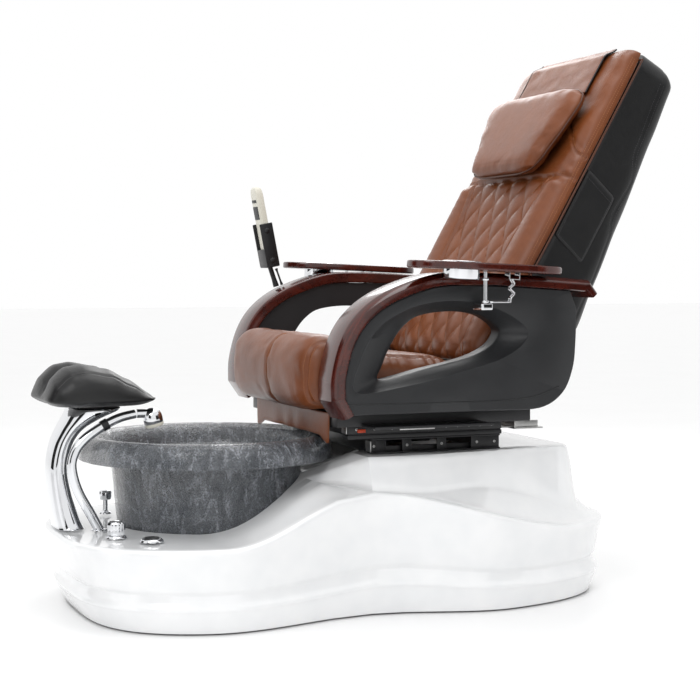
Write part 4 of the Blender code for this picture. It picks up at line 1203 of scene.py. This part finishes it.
def makeControl():
    stalk = through([(-0.372, -0.070, 0.7485), (-0.372, -0.079, 0.775), (-0.372, -0.087, 0.7985)], 8)
    makePiece("controlStalk", *pipe(stalk, lambda t: 0.0080 - 0.0015 * smoothstep(0, 0.4, t), 24), "black",
              "seat",
              ["handset_stalk"])
    shell = [block((-0.031, -0.018, 0.000), (0.031, 0.018, 0.0098), 0.003, control),
             block((-0.031, -0.018, 0.004), (-0.0256, 0.018, 0.118), 0.0022, control),
             block((0.0256, -0.018, 0.004), (0.031, 0.018, 0.118), 0.0022, control),
             block((-0.030, 0.0116, 0.004), (0.030, 0.018, 0.112), 0.0022, control),
             block((-0.030, -0.018, 0.004), (0.030, -0.0116, 0.050), 0.0022, control)]
    for z in (0.018, 0.098):
        for x in (-0.0318, 0.0318):
            shell.append(lathe([(0, 0.0012), (0.0060, 0.0012), (0.0072, 0.0002), (0.0072, -0.0040),
                                (0, -0.0040)],
                               control @ Vector((x * 0.985, 0, z)), (copysign(1, x), 0, 0), 32))
    makePiece("controlHolder", *gather(shell), "black", "seat", ["handset_holder"])
    back = padSkin(26, 60, lambda v: 0.0244, lambda x, v: 0.0104, lambda x, v: 0.0104,
                   lambda x, v, h: control @ Vector((x, h, 0.114 + v * 0.1028)), 0.10, 16.0, 2.8)
    keys = [block((-0.018, -0.0116, 0.130), (0.018, -0.0100, 0.165), 0.0014, control)]
    keys += [block((-0.016 + 0.012 * k, -0.0116, 0.175), (-0.008 + 0.012 * k, -0.0098, 0.183), 0.0008,
                   control)
             for k in range(3)]
    makePiece("controlBody", *back, "ivory", "handset", ["handset"], 50)
    makePiece("controlKeys", *gather(keys), "panel", "handset")
    run = through([(-0.350, -0.078, 0.7960), (-0.350, -0.072, 0.7800), (-0.350, -0.062, 0.7530)], 8)
    makePiece("controlLead", *pipe(run, lambda t: 0.0025 + 0.0016 * (1 - smoothstep(0, 0.30, t)) +
                                   0.0012 * smoothstep(0.80, 0.95, t), 16), "rubber", "seat",
                                   ["handset_cable"])


makeControl()
print("arms made")


# trays

tray = {"x": 0.425, "y": 0.155, "z": 0.7895, "lean": radians(2.6), "thick": 0.017, "half": 0.084,
        "long": 0.186}


def makeTray(side, name):
    low = name.lower()
    place = Matrix.Translation((side * tray["x"], tray["y"], tray["z"])) @ Matrix.Rotation(-tray["lean"], 4,
                                                                                           "X")
    cupX, cupY = side * 0.024, -0.072
    outline = []
    for k in range(200):
        across, along = cos(2 * pi * k / 200), sin(2 * pi * k / 200)
        power = 0.60 if along > 0 else 0.85
        outline.append(Vector((copysign(abs(across) ** power, across) * tray["half"] - side * 0.009,
                               copysign(abs(along) ** power, along) * tray["long"])))
    outline = spaced(outline, 200)
    middle = Vector((cupX, cupY))
    rim = [middle + (p - middle).normalized() * 0.0416 for p in outline]

    def ring(points, z, inset=0.0):
        return [place @ Vector((*(p - (p - middle).normalized() * inset), z)) for p in points]

    rings = [ring(rim, 0), ring([a.lerp(b, 0.5) for a, b in zip(rim, outline)], 0),
             ring(outline, 0, 0.0040),
             ring(outline, 0.0006, 0.0018), ring(outline, 0.0024, 0.0004), ring(outline, 0.0045),
             ring(outline, 0.0125),
             ring(outline, 0.0148, 0.0006), ring(outline, 0.0164, 0.0022), ring(outline, 0.0170, 0.0050),
             ring([a.lerp(b, 0.5) for a, b in zip(rim, outline)], 0.0170), ring(rim, 0.0170)]
    makePiece("trayWood" + name, *ringSkin(rings, looped=True), "wood", "tray_" + low,
              ["tray_board_" + low], 30)
    cup = [(0, -0.0200), (0.0330, -0.0200), (0.0368, -0.0188), (0.0380, -0.0160), (0.0382, 0.0170),
           (0.0390, 0.0188),
           (0.0405, 0.0193), (0.0435, 0.0192), (0.0450, 0.0184), (0.0448, 0.0174), (0.0412, 0.0173),
           (0.0410, -0.0190),
           (0.0395, -0.0214), (0.0370, -0.0220), (0, -0.0220)]
    makePiece("trayCup" + name, *lathe(cup, place @ Vector((cupX, cupY, 0)),
                                       place.to_3x3() @ Vector((0, 0, 1)), 80),
              "chrome", "tray_" + low, ["tray_cup_" + low])
    near, far = sorted((side * 0.3905, side * 0.436))
    posts = [block((near, 0.140, 0.700), (far, 0.170, 0.716), 0.003)]
    top = tray["z"] - 0.0014
    for dx in (-0.0038, 0.0038):  # a pair of rods side by side
        posts.append(pipe([(side * tray["x"] + dx, 0.155, 0.706), (side * tray["x"] + dx, 0.155, 0.73),
                           (side * tray["x"] + dx, 0.155, 0.76), (side * tray["x"] + dx, 0.155, top)],
                           0.0029, 18))
    for z in (0.7185, 0.7700):
        posts.append(lathe([(0, 0.004), (0.0085, 0.004), (0.0092, 0.003), (0.0092, -0.001),
                            (0.0085, -0.002),
                            (0, -0.002)], (side * tray["x"], 0.155, z), steps=36))
    makePiece("trayPost" + name, *gather(posts), "chrome", "seat", ["tray_post_" + low])
    near, far = sorted((side * 0.429, side * 0.441))
    folded = [(0.212, 0.7168), (0.214, 0.728), (0.222, 0.739), (0.212, 0.750), (0.222, 0.760),
              (0.216, 0.770)]
    strip = []
    for x in (near + 0.0008, far - 0.0008):
        strip.append([(x, y, z) for y, z in folded])
    clip = [pipe(through([Vector((x, y, z)) for x, y, z in line], 6), 0.0019, 12) for line in strip]
    clip += [block((near, y - 0.0016, z - 0.0016), (far, y + 0.0016, z + 0.0016), 0.001) for y,
             z in folded[1:-1]]
    clip.append(block((side * 0.012 - 0.012, 0.050, -0.0170), (side * 0.012 + 0.012, 0.078, -0.0145),
                      0.0008, place))
    clip.append(block((side * 0.012 - 0.012, 0.050, -0.0170), (side * 0.012 + 0.012, 0.0525, -0.0006),
                      0.0008, place))
    clip.append(block((side * 0.012 - 0.012, 0.0755, -0.0170), (side * 0.012 + 0.012, 0.078, -0.0006),
                      0.0008, place))
    footing = sorted((side * 0.4265, side * 0.4355))
    clip.append(block((footing[0], 0.1630, 0.7164), (footing[1], 0.216, 0.7210), 0.0012))
    makePiece("trayClip" + name, *gather(clip), "chrome", "seat", ["tray_clip_" + low])


makeTray(1, "Left")
makeTray(-1, "Right")
print("trays made")

# back

hinge = {"y": 0.335, "z": 0.540, "lean": radians(30)}
quilt = {"across": 0.082, "along": 0.115, "deep": 0.0085}
cushion = {"low": -0.038, "top": 0.858, "rim": -0.1145}
toSitter = Vector((0, -cos(hinge["lean"]), sin(hinge["lean"])))


def onBack(x, s, d):  # s runs up the back, d through it, away from the sitter
    return Vector((x, hinge["y"] + s * sin(hinge["lean"]) + d * cos(hinge["lean"]),
                   hinge["z"] + s * cos(hinge["lean"]) - d * sin(hinge["lean"])))


def fromBack(p):
    y, z = p[1] - hinge["y"], p[2] - hinge["z"]
    c, s = cos(hinge["lean"]), sin(hinge["lean"])
    return p[0], y * s + z * c, y * c - z * s


quiltHalf = [(-0.05, 0.205), (0.06, 0.188), (0.18, 0.170), (0.35, 0.182), (0.47, 0.208)]


def quiltEdge(s):
    return heightAt(quiltHalf, s)


def makeBackCushion():
    middle, reach = (cushion["low"] + cushion["top"]) / 2, (cushion["top"] - cushion["low"]) / 2

    def half(v):
        return 0.282 + 0.007 * smoothstep(0.1, 0.35, middle + v * reach)

    def front(x, v):
        s = middle + v * reach
        side = abs(x)
        w = quiltEdge(s)
        bolsters = 0.012 * sin(pi * min(1, max(0, (side - w) / (0.285 - w)))) ** 0.7 if s < 0.475 else 0.0
        return 0.0280 + bolsters * (1 - smoothstep(0.445, 0.475, s)) + 0.004 * smoothstep(0.5, 0.6, s)

    skin = padSkin(190, 270, half, front, lambda x, v: 0.008,
                   lambda x, v, h: onBack(x, middle + v * reach, cushion["rim"] - h), 0.03, 26.0, 2.3)
    piece = makePiece("quiltedBack", *skin, "leather", "back", ["back_cushion"], 80)
    plump(piece, 4.0, 0.006, voxel=0.009)

    def channels(p):
        x, s, d = fromBack(p)
        if d > cushion["rim"] - 0.006:
            return (0, 0, 0)
        side, w = abs(x), quiltEdge(s)
        deep = 0.0
        inQuilt = (1 - smoothstep(w - 0.004, w + 0.001, side)) * (1 - smoothstep(0.470, 0.476, s))
        if inQuilt > 0:
            a, b = x / quilt["across"] + s / quilt["along"], x / quilt["across"] - s / quilt["along"]
            puff = (abs(sin(pi * a)) * abs(sin(pi * b))) ** 0.42
            deep += inQuilt * quilt["deep"] * (1 - puff)
        lines = [abs(side - w) if s < 0.475 else 1, abs(s - 0.475) if side < 0.285 else 1]
        if s > 0.475:
            arc = 0.637 - 0.10 * smoothstep(0.10, 0.28, side) ** 2
            lines.append(abs(s - arc) if side > 0.03 else 1)
        deep += 0.0075 * sum(exp(-((away / 0.0042) ** 2)) for away in lines)
        away = min(lines)
        tucks = 0.0026 * sin(s * 230 + 4 * noise.noise(Vector((x * 20, s * 14,
                                                               1)))) * exp(-away / 0.020) * (
            1 - inQuilt) * smoothstep(0.19, 0.24, side)
        loose = 0.0040 * noise.noise(Vector((x * 9 + 3, s * 17, 2))) * (1 - inQuilt) * smoothstep(0.45, 0.5,
                                                                                                  s)
        return toSitter * (tucks + loose - deep)

    crease(piece, channels)
    lines = []
    for side in (-1, 1):
        for inset in (-0.0065, 0.0065):
            lines.append([(side * (quiltEdge(k / 60) + inset), k / 60) for k in range(-1, 29)])
        lines.append([(side * (0.03 + 0.245 * k / 30),
                       0.644 - 0.10 * smoothstep(0.10, 0.28,
                                                 0.03 + 0.245 * k / 30) ** 2) for k in range(31)])
    lines += [[(x / 50, 0.469) for x in range(-14, 15)], [(x / 50, 0.4815) for x in range(-14, 15)]]
    for family in (-1, 1):
        for k in range(-8, 9):
            line = []
            for j in range(-2, 100):
                s = j * 0.0048
                x = quilt["across"] * (k - family * s / quilt["along"])
                if abs(x) < quiltEdge(s) - 0.006 and s < 0.468:
                    line.append((x, s))
            if len(line) > 3:
                lines.append(line)
    sew("backSeams", [laidOn([onBack(x, s, -0.15) for x, s in line], piece, -toSitter,
                             0.0003) for line in lines],
        "thread", "back", Spacing=0.0058, Length=0.0042, Width=0.0010)
    sides = []
    for side in (-1, 1):
        for d in (-0.131, -0.124):
            run = [onBack(side * 0.32, k / 60, d) for k in range(1, 50)]
            sides.append(laidOn(run, piece, (-side, 0, 0), 0.0002))
    sew("backSideSeams", sides, "thread", "back", Spacing=0.0058, Length=0.0042, Width=0.0010)
    welt = []
    for side in (-1, 1):
        welt += [onBack(side * (0.2815 + 0.0065 * smoothstep(0.1, 0.35, s)), s, -0.1085)
                 for s in ([k / 40 for k in range(-1, 34)] if side < 0 else [k / 40 for k in range(33, -2,
                                                                                                   -1)])]
    makePiece("backWelt", *pipe(welt, 0.0027, 10), "piping", "back")


def makePillow():
    outline = [(0.466, 0.150), (0.475, 0.172), (0.52, 0.190), (0.60, 0.222), (0.66, 0.2395),
               (0.685, 0.2370),
               (0.700, 0.2200), (0.709, 0.190)]
    low, top, rim = 0.4640, 0.7100, -0.1815
    middle, reach = (low + top) / 2, (top - low) / 2

    def half(v):
        return heightAt(outline, middle + v * reach)

    skin = padSkin(110, 90, half, lambda x, v: 0.0230, lambda x, v: 0.0225,
                   lambda x, v, h: onBack(x, middle + v * reach, rim - h), 0.05, 9.0, 2.2)
    piece = makePiece("headPillow", *skin, "leather", "pillow", ["headrest_pillow"], 80)
    plump(piece, 4.0, 0.004, voxel=0.006)

    def folds(p):
        x, s, d = fromBack(p)
        u, v = x / max(0.05, heightAt(outline, s)), (s - middle) / reach
        edge = max(abs(u), abs(v))
        ripple = noise.noise(Vector((x * 26, s * 26, 5 + d * 10)))
        return toSitter * (0.0022 * ripple * smoothstep(0.55, 0.95, edge) * (1 if d < rim else -1))

    crease(piece, folds)
    loop = []
    for k in range(120):
        t = 2 * pi * k / 120
        u, v = copysign(abs(cos(t)) ** 0.22, cos(t)), copysign(abs(sin(t)) ** 0.22, sin(t))
        up = v * (1 - 0.05 * abs(u) ** 8)
        x = u * (1 - 0.05 * abs(v) ** 8) * half(up)
        loop.append(onBack(x * 1.003, middle + up * reach, rim))
    loop = spaced(loop, 200)
    rings = []
    for i, p in enumerate(loop):
        run = (loop[(i + 1) % len(loop)] - loop[i - 1]).normalized()
        side = run.cross(toSitter).normalized()
        turns = [2 * pi * k / 10 for k in range(10)]
        rings.append([p + (toSitter * cos(a) + side * sin(a)) * 0.0026 for a in turns])
    makePiece("pillowPiping", *ringSkin(rings, looped=True), "piping", "pillow")

    verts, faces = [], []
    across, along = 80, 34
    for face in (1, -1):
        first = len(verts)
        for j in range(along + 1):
            for i in range(across + 1):
                u, s = softEdges(across)[i], 0.7105 + 0.1390 * j / along
                x = u * (0.186 + 0.003 * smoothstep(0.72, 0.84, s))
                wave = 0.0012 * noise.noise(Vector((x * 18, s * 30, 0)))
                edge = max(0.0, 1 - abs(u) ** 30) ** 0.5
                bend = 0.020 * smoothstep(0.815, 0.850, s)
                verts.append(onBack(x, s, -0.1585 + bend + wave - face * 0.0022 * edge))
        for j in range(along):
            for i in range(across):
                a = first + j * (across + 1) + i
                faces.append((a, a + 1, a + across + 2, a + across + 1) if face > 0
                             else (a + across + 1, a + across + 2, a + 1, a))
    for end in (0, along):  # closes the two ends
        row = [end * (across + 1) + i for i in range(across + 1)]
        under = [i + (along + 1) * (across + 1) for i in row]
        faces += [(row[i], row[i + 1], under[i + 1], under[i]) for i in range(across)]
    flap = makePiece("pillowFlap", verts, faces, "leather", "pillow", ["pillow_flap"], 80)
    edges = []
    for side in (-1, 1):
        edges.append(pipe([onBack(side * (0.1855 + 0.003 * smoothstep(0.72, 0.84, s)), s,
                                  -0.1590 + 0.020 * smoothstep(0.815, 0.850, s))
                           for s in [0.7105 + 0.139 * k / 20 for k in range(21)]], 0.0022, 10))
    makePiece("flapEdges", *gather(edges), "black", "pillow")


def makeBackShell():
    slices, rings = 70, []
    depths = [(0.030, 0.070), (0.10, 0.093), (0.177, 0.0985), (0.282, 0.087), (0.45, 0.070), (0.689, 0.046),
              (0.825, 0.030), (0.860, 0.018)]
    low, top = 0.0320, 0.8590
    for k in range(slices + 1):
        s = low + (top - low) * (1 + softEdges(slices)[k]) / 2
        near = min(s - low, top - s)
        round = 0.045 - (max(0.0, 0.045**2 - max(0.0, 0.045 - near) ** 2)) ** 0.5 if near < 0.045 else 0.0
        wide = 0.2755 - 0.009 * smoothstep(0.1, 0.8, s) - round * 0.9
        rear = max(-0.085, heightAt(depths, s) - round * 1.0)
        front, ring = -0.1045 + min(0.012, round * 0.3), []
        middle, deep = (front + rear) / 2, (rear - front) / 2
        for j in range(120):
            across, along = cos(2 * pi * j / 120), sin(2 * pi * j / 120)
            power = 0.42 if along > 0 else 0.12
            x = copysign(abs(across) ** (0.30 if along > 0 else 0.12), across) * wide
            ring.append(onBack(x, s, middle + copysign(abs(along) ** power, along) * deep))
        rings.append(ring)
    piece = makePiece("backShell", *ringSkin(rings), "blackLeather", "back", ["back_shell"], 80)

    def folds(p):
        x, s, d = fromBack(p)
        away = abs(d - heightAt([(0.05, 0.060), (0.279, 0.055), (0.405, 0.042), (0.462, 0.022),
                                 (0.554, 0.030),
                                 (0.629, 0.0), (0.84, -0.02)], s)) if abs(x) > 0.2 else 1
        side = Vector((copysign(1, x), 0, 0))
        loose = 0.0022 * noise.noise(Vector((x * 8, s * 9, d * 12)))
        return side * (loose - 0.0022 * exp(-((away / 0.003) ** 2)))

    crease(piece, folds)
    lines = []
    for side in (-1, 1):
        for inset in (-0.0055, 0.0055):
            run = [(0.05, 0.060), (0.279, 0.055), (0.405, 0.042), (0.462, 0.022), (0.554, 0.030),
                   (0.629, 0.0),
                   (0.84, -0.02)]
            points = [onBack(side * 0.34, s,
                             heightAt(run, s) + inset) for s in [0.06 + 0.75 * k / 60 for k in range(61)]]
            lines.append(laidOn(points, piece, (-side, 0, 0), 0.0002))
    away = -toSitter
    for x in (-0.175, 0.175):
        lines.append(laidOn([onBack(x, 0.08 + 0.70 * k / 60, 0.10) for k in range(61)], piece, -away,
                            0.0002))
    lines.append(laidOn([onBack(-0.175 + 0.35 * k / 40, 0.50, 0.10) for k in range(41)], piece, -away,
                        0.0002))
    sew("shellSeams", lines, "darkThread", "back", Spacing=0.0060, Length=0.0042, Width=0.0010)
    for side, name in ((-1, "Right"), (1, "Left")):  # side pockets
        def place(x, v, h, side=side):
            return onBack(side * (0.2700 + h), 0.415 + v * 0.095 - 0.012 * (x / 0.051), -0.046 + x)

        pocket = padSkin(40, 60, lambda v: 0.050, lambda x, v: 0.0072, lambda x, v: 0.003, place, 0.03,
                         14.0, 2.4)
        made = makePiece("sidePocket" + name, *pocket, "blackLeather", "back")
        seam = [[onBack(side * 0.34, 0.415 + v * 0.087 - 0.012 * (x / 0.051), -0.046 + x) for x, v in run]
                for run in ([(-0.043, k / 20) for k in range(-20, 21)],
                            [(0.043, k / 20) for k in range(-20, 21)],
                            [(0.043 * k / 15, -1.0) for k in range(-15, 16)],
                            [(0.043 * k / 15, 0.86) for k in range(-15, 16)])]
        sew("pocketSeams" + name, [laidOn(run, made, (-side, 0, 0), 0.0002) for run in seam], "darkThread",
            "back",
            Spacing=0.0055, Length=0.0040, Width=0.0009)


makeBackCushion()
makePillow()
makeBackShell()
print("back made")


# studio

studio = {"sky": 1.0, "floor": 0.93}


def makeStudio():
    world = bpy.data.worlds.new("paleStudio")
    world.use_nodes = True
    world.node_tree.nodes["Background"].inputs["Color"].default_value = (1, 1, 1, 1)
    world.node_tree.nodes["Background"].inputs["Strength"].default_value = studio["sky"]
    scene.world = world
    scene.view_settings.view_transform = "Standard"
    mesh = bpy.data.meshes.new("floor")
    mesh.from_pydata([(-30, -30, 0), (30, -30, 0), (30, 30, 0), (-30, 30, 0)], [], [(0, 1, 2, 3)])
    floor = bpy.data.objects.new("floor", mesh)
    scene.collection.objects.link(floor)
    paint, shader, start, place = newFinish("floorPaint", (studio["floor"],) * 3, 0.28)
    speck = cloud(start, place, 3, 2)
    rampOf(start, speck, [(0.3, (0.92, 0.92, 0.92)), (0.7, (0.94, 0.94, 0.94))]).into(shader, "Base Color")
    mesh.materials.append(paint)

    def softbox(name, place, aim, size, power):
        data = bpy.data.lights.new(name, "AREA")
        data.shape, data.size, data.size_y = "RECTANGLE", *size
        data.energy = power
        light = bpy.data.objects.new(name, data)
        light.location = place
        light.rotation_euler = (Vector(aim) - Vector(place)).to_track_quat("-Z", "Y").to_euler()
        scene.collection.objects.link(light)

    softbox("keyBox", (2.6, -2.6, 2.9), (0, 0, 0.5), (1.6, 1.6), 34)
    softbox("topBox", (0.2, 0.2, 3.2), (0, 0, 0.4), (2.4, 1.6), 30)
    softbox("rimBox", (-2.8, 1.2, 2.4), (0, 0, 0.7), (1.4, 1.4), 22)
    flagPaint = newFinish("flagPaint", (0.004, 0.004, 0.004), 0.9)[0]
    for i, (x, y, wide, turn) in enumerate(((3.4, -4.4, 1.3, 38), (-1.6, -3.4, 1.1, -25),
                                            (4.2, 2.6, 1.4, 122))):
        flag = bpy.data.objects.new("flag" + str(i), bpy.data.meshes.new("flag" + str(i)))
        a = radians(turn)
        across = Vector((cos(a), sin(a), 0)) * wide
        at = Vector((x, y, 0))
        flag.data.from_pydata([at - across + Vector((0, 0, 0.1)), at + across + Vector((0, 0, 0.1)),
                               at + across + Vector((0, 0, 2.6)), at - across + Vector((0, 0, 2.6))], [],
                               [(0, 1, 2, 3)])
        flag.data.materials.append(flagPaint)
        flag.visible_diffuse = flag.visible_shadow = flag.visible_camera = False
        scene.collection.objects.link(flag)


makeStudio()
print("studio made")
